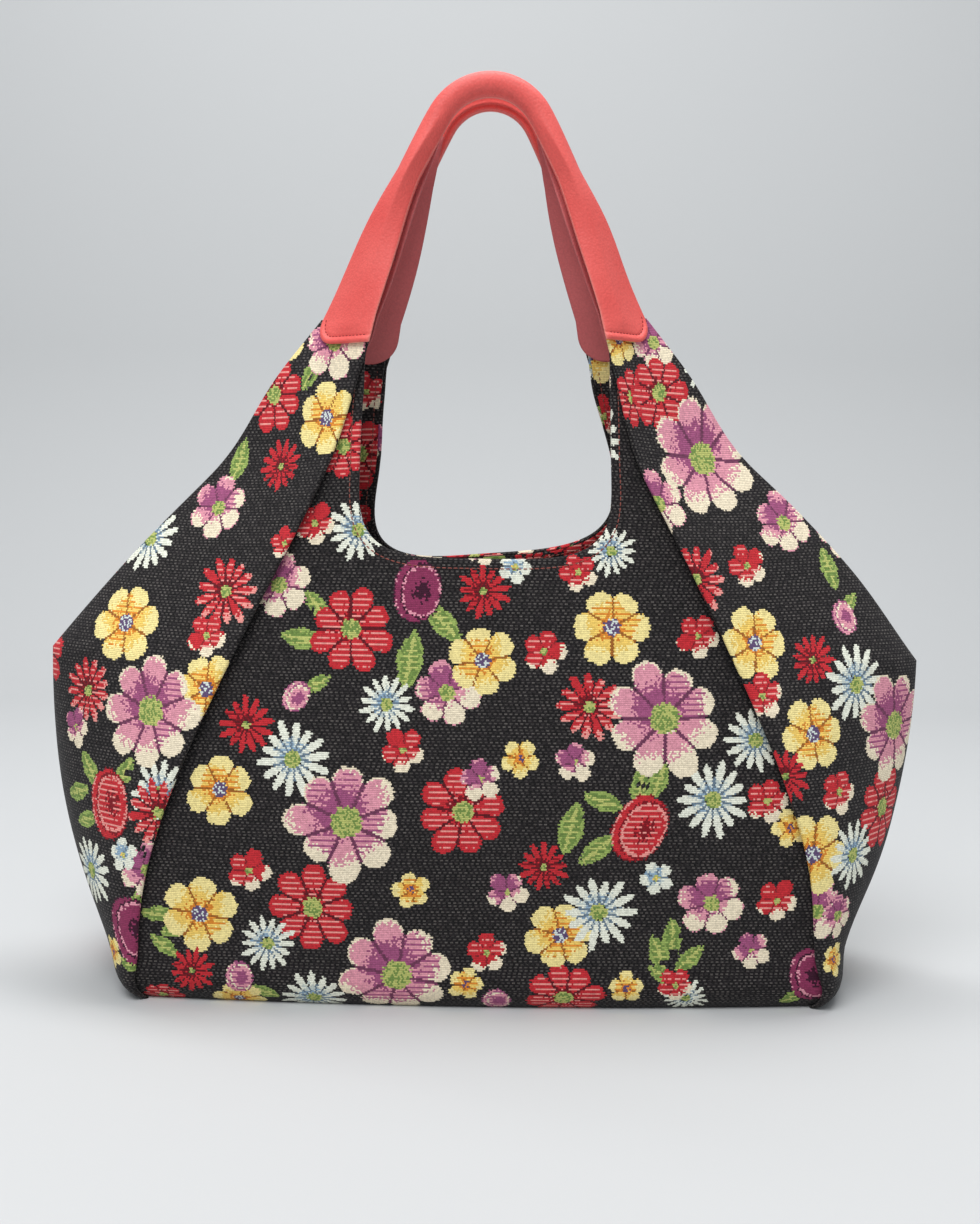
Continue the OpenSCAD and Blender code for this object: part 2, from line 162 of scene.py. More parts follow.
def wrap_pt(z, turn, k, lift=0.0):
    """Point of the side wrap, from the tuck's edge (0) to the side seam (90 degrees), k inside it."""
    a = np.radians(turn)
    edge = tuck_x(z) - roll(z)
    power = 2 / roundness(z)
    stand = lift * flap_lift(z) * np.exp(-(turn / FLAP_REACH) ** 2)
    x = edge + (half_w(z) - roll(z) - k - edge) * np.sin(a) ** power
    y = -(half_d(z) - roll(z) - k + stand) * np.maximum(np.cos(a), 0) ** power
    return np.stack(np.broadcast_arrays(x, y, z), -1)


def front_pt(x, z, k):
    y = -(half_d(z) - roll(z) - k + swell(x, z))
    return np.stack(np.broadcast_arrays(x, y, z), -1)


def mouth_xz(c):
    a = np.pi * np.minimum(c, 0.5)
    foot_x = MOUTH_W / 2 * np.sin(a) ** (2 / MOUTH_POWER)
    foot_z = MOUTH_Z + MOUTH_R * (1 - np.maximum(np.cos(a), 0) ** (2 / MOUTH_POWER))
    t = np.clip(2 * c - 1, 0, 1)
    up_x = lerp(MOUTH_W / 2, EAR_IN, t * t)
    up_z = lerp(MOUTH_Z + MOUTH_R, EAR_Z, t)
    return np.where(c < 0.5, foot_x, up_x), np.where(c < 0.5, foot_z, up_z)


def row_z(v):
    return lerp(BOTTOM_R, EAR_Z, v)


def front_xz(c, v):
    """Place on the front between its four edges: middle, tuck, rolled base edge and mouth."""
    high_x, high_z = mouth_xz(c)
    edge = tuck_x(BOTTOM_R)
    x = (1 - v) * c * edge + v * high_x + c * tuck_x(row_z(v)) - c * lerp(edge, EAR_IN, v)
    return x, lerp(BOTTOM_R, high_z, v)


def hang(points):
    """Where points of the back hang, whose ears and handle are drawn in above the mouth."""
    x, y, z = points[..., 0], points[..., 1], points[..., 2]
    rise = smooth((z - MOUTH_Z) / (EAR_Z - MOUTH_Z))
    fall = lerp(1, ARCH_DRAW, np.clip((z - EAR_Z) / (HANDLE_Z - EAR_Z), 0, 1))
    moved = points.copy()
    moved[..., 0] -= EAR_DRAW * rise * fall * np.clip(x / EAR_IN, -1, 1) * smooth(2 * np.abs(y) / EAR_D)
    return moved


# Soft dents and lean of the standing bag, felt alike by every upright layer of cloth

DENTS = np.array([  # centre, reach and push along X, Y and Z, in mm
    (-234, 0, 180, 60, 100, 47, 0, 0, 1.5),
    (234, 0, 176, 60, 100, 47, 0, 0, -0.5),
    (0, 45, 285, 140, 30, 55, 10, 0, 0),
    (-160, 0, 270, 45, 100, 50, 2, 0, -1.7),
    (130, 0, 290, 45, 100, 45, -3, 0, -2.6),
    (200, 0, 215, 40, 100, 40, 2.3, 0, 1.9),
    (-215, 0, 80, 50, 120, 60, -3, 0, 0),
    (200, 0, 30, 50, 120, 35, -7, 0, 0),
    (215, 0, 125, 50, 120, 50, 0.5, 0, 0),
    (-190, 0, 20, 50, 120, 30, 3, 0, 0),
    (-130, 0, 295, 50, 100, 50, 3, 0, -2.6),
    (-121, 0, 318, 45, 100, 45, 2.5, 0, -2),
    (-50, 50, 240, 40, 30, 30, 0, 0, -5),
    (58, 50, 240, 35, 30, 30, 0, 0, 4),
    (-60, 45, 285, 40, 30, 50, -4, 0, 0),
    (118, 0, 305, 45, 100, 40, -4.5, 0, -3),
    (62, 45, 300, 35, 30, 50, 5, 0, 0),
    (-62, 45, 245, 35, 30, 35, -4, 0, 0),
    (-205, -30, 88, 30, 60, 50, 0, 4, 0),
    (213, -30, 110, 30, 60, 47, 0, 5, 0),
    (205, 30, 75, 30, 60, 50, 0, -4, 0),
    (-212, 30, 110, 30, 60, 47, 0, -5, 0),
    (-150, -60, 218, 40, 50, 56, 0, 4, 0),
    (155, -60, 208, 40, 50, 56, 0, 5, 0),
    (-145, 60, 208, 40, 50, 56, 0, -5, 0),
    (150, 60, 218, 40, 50, 56, 0, -4, 0),
    (60, -60, 56, 90, 50, 38, 0, 3, 0),
    (-80, -60, 112, 80, 50, 56, 0, -3, 0),
    (90, -60, 158, 60, 50, 65, 0, -3, 0),
    (-60, 60, 75, 90, 50, 47, 0, -3, 0),
    (80, 60, 130, 80, 50, 56, 0, 3, 0),
]) / 1000
EAR_PULL = -4.5 * MM           # how far the right ears' outer edge is drawn along X
EAR_LIFT = 3 * MM
PULL_FROM, PULL_RISE = 0.25, 0.08          # the height where the pull sets in, and until it is full
PULL_UNTIL, PULL_FALL = 0.375, 0.055       # the height up to which it is full, and until it ends
PULL_REACH = 0.03                          # from the ear's inner edge to where the pull is full
LIFT_BEFORE = 0.04                         # the lift sets in this far before the ear's inner edge
LEFT_BOW = 2.2 * MM            # how far the left and right legs stand out at half height
RIGHT_BOW = 1.0 * MM
BOW_Z, BOW_REACH = 0.42, 0.035
BOW_FULL_X = 0.025             # the bow is full this far from the middle
STRAP_CLOSE = 0.3              # how fast the straps' inner edge moves in above the ears
FLOOR_HOLD = 0.03              # the dents are weaker within this height of the floor
EAR_HOLD = 0.06                # and within this height of where they end, EAR_FREE under the ears' tops
EAR_FREE = 0.02


def draw_ears(points):
    """Draws the right ears' outer edge and the straps above it in, lifts them, and bows the legs out."""
    x, z = points[..., 0], points[..., 2]
    inner = EAR_IN - STRAP_CLOSE * np.maximum(0, z - EAR_Z)
    hold = smooth((z - PULL_FROM) / PULL_RISE) * (1 - smooth((z - PULL_UNTIL) / PULL_FALL))
    moved = points.copy()
    moved[..., 0] += EAR_PULL * hold * smooth((x - inner) / PULL_REACH)
    moved[..., 2] += EAR_LIFT * hold * smooth((x - inner + LIFT_BEFORE) / PULL_REACH)
    bow = np.where(x < 0, -LEFT_BOW, RIGHT_BOW) * smooth(np.abs(x) / BOW_FULL_X)
    moved[..., 0] += bow * np.exp(-((z - BOW_Z) / BOW_REACH) ** 2)
    return moved


def soften(points):
    """Pushes points by the dents, which don't reach the floor or the ears' tops, and draws the ears."""
    z = points[..., 2]
    hold = smooth(z / FLOOR_HOLD) * smooth((EAR_Z - EAR_FREE - z) / EAR_HOLD)
    moved = points.copy()
    for centre, reach, push in DENTS.reshape(-1, 3, 3):
        d = (points - centre) / reach
        moved += (hold * np.exp(-(d ** 2).sum(-1)))[..., None] * push
    return draw_ears(moved)


# Meshes from grids

def read(items, name, width, kind=float):
    """One property of all of a mesh's vertices, loops or faces, as rows of width."""
    values = np.empty(len(items) * width, kind)
    items.foreach_get(name, values)
    return values.reshape(-1, width)


def link(name, verts, faces):
    mesh = bpy.data.meshes.new(name)
    mesh.from_pydata([tuple(v) for v in verts], [], [tuple(int(i) for i in f) for f in faces])
    mesh.update()
    mesh.polygons.foreach_set("use_smooth", [True] * len(mesh.polygons))
    obj = bpy.data.objects.new(name, mesh)
    bpy.context.scene.collection.objects.link(obj)
    return obj


def set_uv(obj, uv):
    """One cloth coordinate for each vertex, in metres on the flat cloth."""
    layer = obj.data.uv_layers.new(name="cloth")
    index = read(obj.data.loops, "vertex_index", 1, np.int32)[:, 0]
    layer.data.foreach_set("uv", np.asarray(uv, np.float32)[index].ravel())


def grid_faces(rows, cols, start=0, flip=False):
    i, j = np.meshgrid(np.arange(rows - 1), np.arange(cols - 1), indexing="ij")
    a = start + (i * cols + j).ravel()
    quad = np.stack([a, a + 1, a + cols + 1, a + cols], -1)
    return quad[:, ::-1] if flip else quad


def closed_sheet(name, outer, inner, uv_outer, uv_inner):
    """Closed cloth between two grids of points, with its four edges bridged."""
    rows, cols = outer.shape[:2]
    n = rows * cols
    at = np.arange(n).reshape(rows, cols)
    border = np.concatenate([at[0, :-1], at[:-1, -1], at[-1, :0:-1], at[:0:-1, 0]])
    after = np.roll(border, -1)
    faces = np.concatenate([grid_faces(rows, cols), grid_faces(rows, cols, n, True),
                            np.stack([after, border, border + n, after + n], -1)])
    obj = link(name, np.concatenate([outer.reshape(-1, 3), inner.reshape(-1, 3)]), faces)
    set_uv(obj, np.concatenate([uv_outer.reshape(-1, 2), uv_inner.reshape(-1, 2)]))
    return obj


def tube_faces(count, sides):
    """Faces round a tube of rings, without its ends."""
    i, j = np.meshgrid(np.arange(count - 1), np.arange(sides), indexing="ij")
    a, b = (i * sides + j).ravel(), (i * sides + (j + 1) % sides).ravel()
    return [tuple(f) for f in np.stack([a, b, b + sides, a + sides], -1)]


def capped_tube(count, sides):
    last = (count - 1) * sides
    return tube_faces(count, sides) + [tuple(range(sides - 1, -1, -1)), tuple(range(last, last + sides))]


def loft(name, rings, marks=None):
    """Closed tube through rings of points, with flat ends. marks is 1 where its edge line is."""
    obj = link(name, rings.reshape(-1, 3), capped_tube(*rings.shape[:2]))
    if marks is not None:
        layer = obj.data.attributes.new("edge", "FLOAT", "POINT")
        layer.data.foreach_set("value", marks.astype(np.float32).ravel())
    return obj


def mirrored(points, axis):
    moved = points.copy()
    moved[..., axis] *= -1
    return moved


def to_back(points):
    """Points of the front moved to where they hang on the back."""
    return mirrored(hang(points), 1)


def both_sides(half):
    """A full row of points or cloth coordinates from its right half, mirrored about the middle."""
    return np.concatenate([mirrored(half[:, :0:-1], 0), half], 1)


def two_faced(name, outer, inner, side):
    """Closed cloth from the right halves of its two faces, at the front (1) or the back (-1)."""
    grids, uvs = [[both_sides(half) for half in halves] for halves in zip(outer, inner)]
    if side < 0:
        grids = [to_back(g)[:, ::-1] for g in grids]
        uvs = [g[:, ::-1] for g in uvs]
    return closed_sheet(name, *[soften(g) for g in grids], *uvs)


def dress(piece, slot, *nodes):
    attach(piece, "root")
    if nodes:
        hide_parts(*nodes)
    return piece


# Tucked panels

FRONT_COLS = np.linspace(0, 1, 58)
FOLD_STEPS = np.linspace(0, 1, 10)[1:]
EDGE_STEPS = np.linspace(0, 1, 7)
SIDE_TURNS = 90 * np.linspace(0, 1, 47)[1:] ** 0.9
ROLLED_ROWS = BOTTOM_R * np.array([0, 0.15, 0.32, 0.5, 0.7, 0.88])
SHOULDER_V = (SHOULDER_Z - BOTTOM_R) / (EAR_Z - BOTTOM_R)
PANEL_ROWS = np.concatenate([np.linspace(0, SHOULDER_V, 50)[:-1], np.linspace(SHOULDER_V, 1, 56)])
HEM_STEPS = np.linspace(0, 1, 8)[1:]
SIDE_JUMP = 0.085        # cloth that the tuck takes up, so that the pattern is cut at its edge
HEM_DEPTH = FABRIC_T + LINING_ROOM + FACING_T
HEM_TAPER_Z = 318 * MM        # the hem is flat above, where the straps are sewn over it
SEAM_DIP = 1.6 * MM            # the side seam lies in a furrow
SEAM_TURNS = (80, 10)          # degrees of the side wrap where that starts, and its width
HEM_FLAT = 0.15                # share of the hem's size that is left where it is flat
HEM_FADE = 25 * MM             # height in which the hem gets flat
FOLDED_HEM = 0.3 * MM          # half the hem's depth beyond the tucks


def front_places(cols, rows, rolled):
    """X and Z of a grid on the front, with the rows of the rolled base edge first."""
    low_z = rolled[:, None]
    low_x = cols[None] * (tuck_x(low_z) - roll(low_z))
    x, z = front_xz(cols[None], rows[:, None])
    return np.concatenate([low_x, x]), np.concatenate([np.broadcast_to(low_z, low_x.shape), z])


def all_z(rows, rolled):
    return np.concatenate([rolled, row_z(rows)])[:, None]


def along(points):
    """Distance along each row from its first point."""
    step = np.linalg.norm(np.diff(points, axis=1), axis=-1)
    return np.concatenate([np.zeros((len(points), 1)), np.cumsum(step, 1)], 1)


def run_from(first, points):
    """Distance along each row from a first column to each of the points."""
    return along(np.concatenate([first, points], 1))[:, 1:]


def panel_half(under, back, edge, reach, turn):
    """Right half of one face of the tucked panel, as rows of points and of cloth coordinates."""
    front_x, front_z = front_places(FRONT_COLS, PANEL_ROWS, ROLLED_ROWS)
    front = front_pt(front_x, front_z, under)
    z = all_z(PANEL_ROWS, ROLLED_ROWS)
    fold_under = wrap_pt(z, turn * FOLD_STEPS[None], under)
    fold_back = wrap_pt(z, turn * FOLD_STEPS[None, ::-1], back, 1.0)
    side = wrap_pt(z, SIDE_TURNS[None], edge, 1.0)
    side[..., 0] -= SEAM_DIP * smooth((SIDE_TURNS[None] - SEAM_TURNS[0]) / SEAM_TURNS[1]) ** 2
    # The tuck's edge is a round fold from the back layer to the side
    start, end = [wrap_pt(z, np.zeros((1, 1)), k, 1.0) for k in (back, edge)]
    bend = np.pi * EDGE_STEPS[None, :, None]
    fold = lerp(start, end, (1 - np.cos(bend)) / 2)
    fold[..., 0] += reach - (back - edge) / 2 * np.sin(bend[..., 0])
    edge_x = tuck_x(z) + SIDE_JUMP
    fold_run = along(fold[:, ::-1])[:, ::-1]
    u = np.concatenate([front_x, front_x[:, -1:] + run_from(front[:, -1:], fold_under),
                        edge_x - fold_run[:, :1] - run_from(fold[:, :1], fold_back[:, ::-1])[:, ::-1],
                        edge_x - fold_run, edge_x + run_from(fold[:, -1:], side)], 1)
    v = np.concatenate([front_z - roll(front_z), np.repeat(z - roll(z), u.shape[1] - front.shape[1], 1)], 1)
    return np.concatenate([front, fold_under, fold_back, fold, side], 1), np.stack([u, v], -1)


FOLDED_COLS = len(FOLD_STEPS) * 2 + len(EDGE_STEPS) + len(SIDE_TURNS)


def mouth_out(cols):
    """Direction in the cloth across its top edge, for each of these columns."""
    x, z = mouth_xz(cols)
    dx, dz = np.gradient(x), np.gradient(z)
    out = np.stack([-dz, np.zeros_like(dx), dx], -1)
    return out / np.linalg.norm(out, axis=-1, keepdims=True)


def hem(points, uv):
    """Rolls the mouth's edge over to the inside, round the facing's thickness."""
    out = np.concatenate([mouth_out(FRONT_COLS), np.tile([0.0, 0.0, 1.0], (FOLDED_COLS, 1))])
    size = HEM_DEPTH / 2 * lerp(1, HEM_FLAT, smooth((points[-1, :, 2] - HEM_TAPER_Z) / HEM_FADE))
    size[len(FRONT_COLS):] = FOLDED_HEM
    rows, coords = [points], [uv]
    for a in np.pi * HEM_STEPS:
        row = points[-1] + out * (size * math.sin(a))[:, None]
        row[:, 1] += size * (1 - math.cos(a))
        rows.append(row[None])
        coords.append((uv[-1] + out[:, [0, 2]] * (size * a)[:, None])[None])
    return np.concatenate(rows), np.concatenate(coords)


def more_top_rows(grid):
    """Cuts the last row of faces into thin ones, as many as the hem has on the other face."""
    steps = np.linspace(0, 1, len(HEM_STEPS) + 2)[1:, None, None]
    return np.concatenate([grid[:-1], lerp(grid[-2:-1], grid[-1:], steps)])


def tucked_panel(name, side):
    """Front (1) or back (-1) panel as one folded sheet."""
    outer = hem(*panel_half(FRONT_K, LAYER + FABRIC_T, 0.0, 0.0, TUCK_TURN - 3))
    inner = panel_half(INSIDE_K, LAYER, FABRIC_T, FABRIC_T, TUCK_TURN + 3)
    return two_faced(name, outer, [more_top_rows(g) for g in inner], side)


front_panel, back_panel = [dress(tucked_panel(face + "_panel_cloth", side), "tapestry", face + "_panel")
                           for face, side in FACES]

# Facings, linings and pocket

INNER_COLS = np.linspace(0, 1, 48)
INNER_TURNS = np.linspace(0, 90, 31)[1:]
FACING_ROWS = np.linspace(FACING_FROM, 1, 26)
LINING_ROWS = np.linspace(0, FACING_FROM, 70)
LINING_LOW = np.array([BASE_TOP, BASE_TOP + 4 * MM])
SLACK = 1.1 * MM
SLACK_FROM, SLACK_UNTIL = 10 * MM, 230 * MM    # heights between which the lining hangs loose


def slack(x, z):
    """How far the lining hangs in from the outer cloth: soft upright folds, none at its edges."""
    hold = smooth((z - SLACK_FROM) / 0.04) * smooth((SLACK_UNTIL - z) / 0.03)
    folds = np.sin(x * 46 + 3 * np.sin(z * 22)) + 0.6 * np.sin(x * 87 - z * 31 + 1.7)
    return hold * SLACK * (1.6 + folds)


def inner_half(k, rows, rolled, loose):
    z = all_z(rows, rolled)
    front_x, front_z = front_places(INNER_COLS, rows, rolled)
    front = front_pt(front_x, front_z, k + loose * slack(front_x, front_z))
    edge = tuck_x(z)
    side_x = edge + (half_w(z) - edge) * INNER_TURNS[None] / 90
    side = wrap_pt(z, INNER_TURNS[None], k + loose * slack(side_x, z))
    u = np.concatenate([front_x, edge + run_from(front[:, -1:], side)], 1)
    v = np.concatenate([front_z, np.repeat(z, side.shape[1], 1)], 1)
    return np.concatenate([front, side], 1), np.stack([u, v], -1)


def inner_pair(kind, slot, thickness, rows, rolled, loose):
    """Front and back sheet of a kind inside the panels. loose is 1 where it hangs in soft folds."""
    faces = [inner_half(k, rows, rolled, loose) for k in (FACING_K, FACING_K + thickness)]
    return [dress(two_faced(f"{face}_{kind}_cloth", *faces, side), slot, f"{face}_{kind}")
            for face, side in FACES]


front_facing, back_facing = inner_pair("facing", "tapestry", FACING_T, FACING_ROWS, np.zeros(0), 0)
front_lining, back_lining = inner_pair("lining", "lining", LINING_T, LINING_ROWS, LINING_LOW, 1)

POCKET_COLS = np.linspace(0, 1, 30)
POCKET_ROWS = np.linspace(0, 1, 40)
POCKET_GAPE = 3.5 * MM
POCKET_HEM = 0.5 * MM
POCKET_SEW_IN = 3 * MM


def pocket_depth(x, z, k):
    """How deep inside the bag's shape the pocket is, which gapes a little along its open top edge."""
    rise = (z - POCKET_Z) / POCKET_H
    gape = POCKET_GAPE * smooth((rise - 0.35) / 0.65) * (1 - (2 * x / POCKET_W) ** 4)
    hem_bulge = POCKET_HEM * np.exp(-((1 - rise) / 0.09) ** 6)
    out = 1.0 if k > LINING_IN else -0.2
    return k + slack(x, z) + gape + out * hem_bulge


def pocket_half(k):
    """Half of one face of the pocket."""
    x, z = np.meshgrid(POCKET_W / 2 * POCKET_COLS, POCKET_Z + POCKET_H * POCKET_ROWS)
    return front_pt(x, z, pocket_depth(x, z, k)), np.stack([x, z], -1)


pocket_faces = [pocket_half(k) for k in (LINING_IN, LINING_IN + LINING_T)]
slip_pocket = dress(two_faced("slip_pocket_cloth", *pocket_faces, -1), "lining", "slip_pocket")

# Base

BASE_COLS = np.linspace(0, 1, 40)[:-1]
BASE_FOLD_TURNS = np.linspace(0, 40, 8)
BASE_TURNS = np.linspace(44, 90, 16)
BASE_RINGS = 0.993 * np.linspace(0, 1, 40)[1:]
LINING_WAVE = 0.5 * MM
BASE_EDGE = ([0.997, 1.0, 0.997], [0.06, 0.5, 0.94])    # shares and levels of the rings round its edge


def base_outline(front_in, side_in):
    zero = np.zeros(1)
    half = np.concatenate([front_pt(BASE_COLS * (tuck_x(zero) - roll(zero)), zero, front_in),
                           wrap_pt(zero, BASE_FOLD_TURNS, front_in), wrap_pt(zero, BASE_TURNS, side_in)])
    front = np.concatenate([mirrored(half, 0)[:0:-1], half])
    return np.concatenate([front, mirrored(front, 1)[-2:0:-1]])


def base_sheet(name, front_in, side_in, low, thickness, wave):
    """Flat closed sheet with rounded edges inside the outline. wave is how far it ripples."""
    outline = base_outline(front_in, side_in)
    count = len(outline)
    shares = np.concatenate([BASE_RINGS, BASE_EDGE[0], BASE_RINGS[::-1]])
    levels = np.concatenate([np.zeros(len(BASE_RINGS)), BASE_EDGE[1], np.ones(len(BASE_RINGS))])
    rings = outline[None] * shares[:, None, None]
    ripple = np.sin(rings[..., 0] * 60 + 4 * rings[..., 1]) * np.sin(rings[..., 1] * 70 + 1)
    hold = 1 - smooth((shares[:, None] - 0.75) / 0.2)
    rings[..., 2] = low + thickness * levels[:, None] + wave * hold * (1 + ripple)
    middles = [[0, 0, rings[i, :, 2].mean()] for i in (0, -1)]
    verts = np.concatenate([rings.reshape(-1, 3), middles])
    faces = tube_faces(len(shares), count)
    low_mid, high_mid, last = len(verts) - 2, len(verts) - 1, (len(shares) - 1) * count
    for s in range(count):
        faces.append((low_mid, (s + 1) % count, s))
        faces.append((high_mid, last + s, last + (s + 1) % count))
    obj = link(name, verts, faces)
    set_uv(obj, verts[:, :2])
    return obj


base_panel = dress(base_sheet("base_panel_cloth", INSIDE_K + SEAT, FABRIC_T + SEAT, 0.0, FABRIC_T, 0.0),
                   "tapestry", "base_panel")
base_lining = dress(base_sheet("base_lining_cloth", LINING_IN, LINING_IN, BASE_TOP, LINING_T, LINING_WAVE),
                    "lining", "base_lining")

# Handles and their backings

RING_SIDES = 96
EDGE_W = 0.55 * MM             # half width of the light line along a strap's inner edge
TAB_CREST = 1.6 * MM
LEG_CREST = 2.0 * MM
CREST_AT = 0.30                # place of the crest, from the middle (0) to the inner edge (1)
BEAD_RISE = 0.4 * MM           # bead along the inner edge
SEAM_AT, SEAM_W = math.radians(222), math.radians(7)    # seam of the rolled part, round its section
ROLL_SEAM = 1.1 * MM           # how deep that seam is
END_ROUND = 1.2 * MM           # height in which a strap's lower end is rounded
END_THIN = 0.85                # how much of its thickness an end loses, in squares
STRAP_SQUARE = 6               # squareness of a flat strap's section, where an ellipse has 2


def ear_line(z, k):
    """The ear's line in plan at height z: inner end, direction, outward normal and length."""
    a = wrap_pt(np.float64(z), 0.0, k)
    d = wrap_pt(np.float64(z), 90.0, k) - a
    length = np.linalg.norm(d)
    d = d / length
    return a, d, np.array([d[1], -d[0], 0.0]), length


def ring(mid, wide, thick, half_wide, half_thick, square, shape=None):
    """Flat oval ring of evenly spaced points, and their marks of the edge line.

    square is 2 for an ellipse and more for a strap.
    """
    a = np.linspace(0, 2 * np.pi, 721)
    c, s = np.cos(a), np.sin(a)
    x = half_wide * np.sign(c) * np.abs(c) ** (2 / square)
    y = half_thick * np.sign(s) * np.abs(s) ** (2 / square)
    mark = np.exp(-(y / EDGE_W) ** 2) * (x < 0)
    if shape:
        x, y = shape(x, y, a)
    run = np.concatenate([[0], np.cumsum(np.hypot(np.diff(x), np.diff(y)))])
    want = np.linspace(0, run[-1], RING_SIDES + 1)[:-1]
    x, y, mark = [np.interp(want, run, values) for values in (x, y, mark)]
    return np.column_stack([mid + x[:, None] * wide + y[:, None] * thick, mark])


def corner_cut(rise):
    """How much a strap's rounded corner takes off its width, at a rise above its lower end."""
    under = max(0.0, 1 - rise / TAB_CORNER_H)
    return TAB_CORNER_W * (1 - math.sqrt(1 - under ** 2))


def strap_half(length, share):
    """Half the width of a strap that covers a share of the ear's line and laps past its inner end."""
    return share * min(TAB_W, length + TAB_LAP) / 2


TAB_LINE = ear_line(EAR_Z, 0.0)
TAB_HALF = strap_half(TAB_LINE[3], 1)
TAB_MID = TAB_LINE[0] + TAB_LINE[1] * (TAB_HALF - TAB_LAP) + TAB_LINE[2] * (STRAP_SEAT + TAB_T / 2)
ARCH_Z = HANDLE_Z - HANDLE_R - ARCH_R
LEG_TOP = np.array([ARCH_R * math.sin(ARCH_TURN), -ARCH_Y, ARCH_Z + ARCH_R * math.cos(ARCH_TURN)])
LEG_KNEE = LEG_TOP + LEG_BOW * np.linalg.norm(LEG_TOP - TAB_MID) * np.array(
    [math.cos(ARCH_TURN), 0, -math.sin(ARCH_TURN)])


def handle_pt(p):
    """Place along a handle: 0 at the ear's top, 1 where the arch begins and 2 at its top."""
    if p <= 1:
        q = 1 - p
        flat = q * q * TAB_MID + 2 * q * p * LEG_KNEE + p * p * LEG_TOP
        return np.array([flat[0], lerp(TAB_MID[1], -ARCH_Y, smooth(p)), flat[2]])
    a = ARCH_TURN * (2 - p)
    return np.array([ARCH_R * math.sin(a), -ARCH_Y, ARCH_Z + ARCH_R * math.cos(a)])


def rolled(p):
    return smooth(p / ROLLED_FROM)


def handle_frame(p):
    step = 0.02
    t = handle_pt(min(2, p + step)) - handle_pt(max(0, p - step))
    run = np.array([-1.0, 0, 0]) if p >= 2 else t / np.linalg.norm(t)
    out = lerp(TAB_LINE[2], np.array([0, -1.0, 0]), smooth(p))
    flat = out - run * (out @ run)
    thick = flat / np.linalg.norm(flat)
    return np.cross(run, thick), thick


def half_thick(p):
    return lerp(TAB_T / 2, HANDLE_R, rolled(p))


def half_wide(p):
    return lerp(HANDLE_R, TAB_HALF, max(0.0, 1 - p / NARROW_FROM) ** 1.25)


def strap_shape(half, thick, crest, seam=0.0):
    """A soft crest along the outer face, a bead along the inner edge and a seam on the inner face.

    crest is how far the outer face rises, which also falls away on both sides of it, and seam how
    deep the groove is where two edges meet.
    """
    def shape(x, y, a):
        off = x / half + CREST_AT
        slope = np.where(off > 0, off / (1 + CREST_AT), off / (1 - CREST_AT))
        roof = np.maximum(0, 1.08 - np.sqrt(slope ** 2 + 0.008))
        face = np.maximum(y, 0)
        rise = crest * (roof * np.clip(y / thick, 0, 1) - 0.6 * face / LEG_CREST * (1 - roof))
        bead = BEAD_RISE * np.exp(-(y / EDGE_W) ** 2) * (x < 0)
        groove = (a - SEAM_AT) / SEAM_W
        ridges = np.exp(-((np.abs(groove) - 2.2) / 0.9) ** 2)
        shrink = 1 - seam / HANDLE_R * (1.1 * np.exp(-groove ** 2) - 0.5 * ridges)
        return (x - bead) * shrink, (y + rise) * shrink
    return shape


TAB_ROWS = np.array([0, 0.25, 0.7, 1.2, 1.8, 2.4, 3, 3.5, 4, 4.5, 5.2, 6.2, 7.4, 8.8, 10.4, 12.2, 14]) * MM
RIM_RISE = 1.0 * MM            # the tab's lower end is turned, which makes a thick rim
RIM_IN, RIM_W = 1.7 * MM, 1.5 * MM
SEW_IN = 3.9 * MM              # from the tab's outline to its line of sewing
SEW_W = 0.6 * MM
SEW_START = 2.5 * MM           # from the tab's inner edge to its first stitch
SEW_ABOVE = 2.6 * MM           # from the tab's round corner up to its last stitch
CREST_FROM, CREST_RISE = 2 * MM, 9 * MM    # above the tab's lower end
RIM_UNTIL, RIM_FALL = 8 * MM, 6 * MM
LEG_SQUARE_AT = 0.3            # places along the leg where its rings stand square to it
LEG_CREST_AT = 0.25            # and where its crest is full
LEG_CREST_END = (0.45, 0.5)    # place where the crest starts to fall away, and in which length
LEG_PLACES = np.linspace(0, 1, 74)[1:]
ARCH_PLACES = np.linspace(1, 2, 44)[1:]


def edge_gap(across, rise, width):
    """Distance of a tab's points from its lower and outer outline. across is from the inner edge."""
    over = np.maximum(0, 1 - (width - across) / TAB_CORNER_W)
    under = max(0.0, 1 - rise / TAB_CORNER_H)
    return (1 - np.hypot(over, under)) * TAB_CORNER_H


def tab_shape(half, thick, rise, width):
    """Section of a tab, with a crest, and a rim and a line of sewing along its outline."""
    crested = strap_shape(half, thick, TAB_CREST * smooth((rise - CREST_FROM) / CREST_RISE))

    def shape(x, y, a):
        gap = edge_gap(x + half, rise, width)
        rim = np.exp(-((gap - RIM_IN) / RIM_W) ** 2) - 0.6 * np.exp(-((gap - SEW_IN) / SEW_W) ** 2)
        rim *= RIM_RISE * (1 - smooth((rise - RIM_UNTIL) / RIM_FALL)) * np.clip(y / thick, 0, 1)
        x, y = crested(x, y, a)
        return x, y + rim
    return shape


def thin_end(rise):
    """Share of the thickness that is left at a rise above a strap's rounded lower end."""
    return math.sqrt(1 - END_THIN * max(0.0, 1 - rise / END_ROUND) ** 2)


def tab_ring(rise):
    """Ring of a handle's tab on the ear's line, at a rise above its lower end."""
    a, run, out, length = ear_line(EAR_Z - TAB_OVERLAP + rise, 0.0)
    full = strap_half(length, 1)
    half = full - corner_cut(rise) / 2
    thick = TAB_T / 2 * thin_end(rise)
    return ring(a + run * (half - TAB_LAP) + out * (STRAP_SEAT + TAB_T / 2), run, out, half, thick,
                STRAP_SQUARE, tab_shape(half, thick, rise, 2 * full))


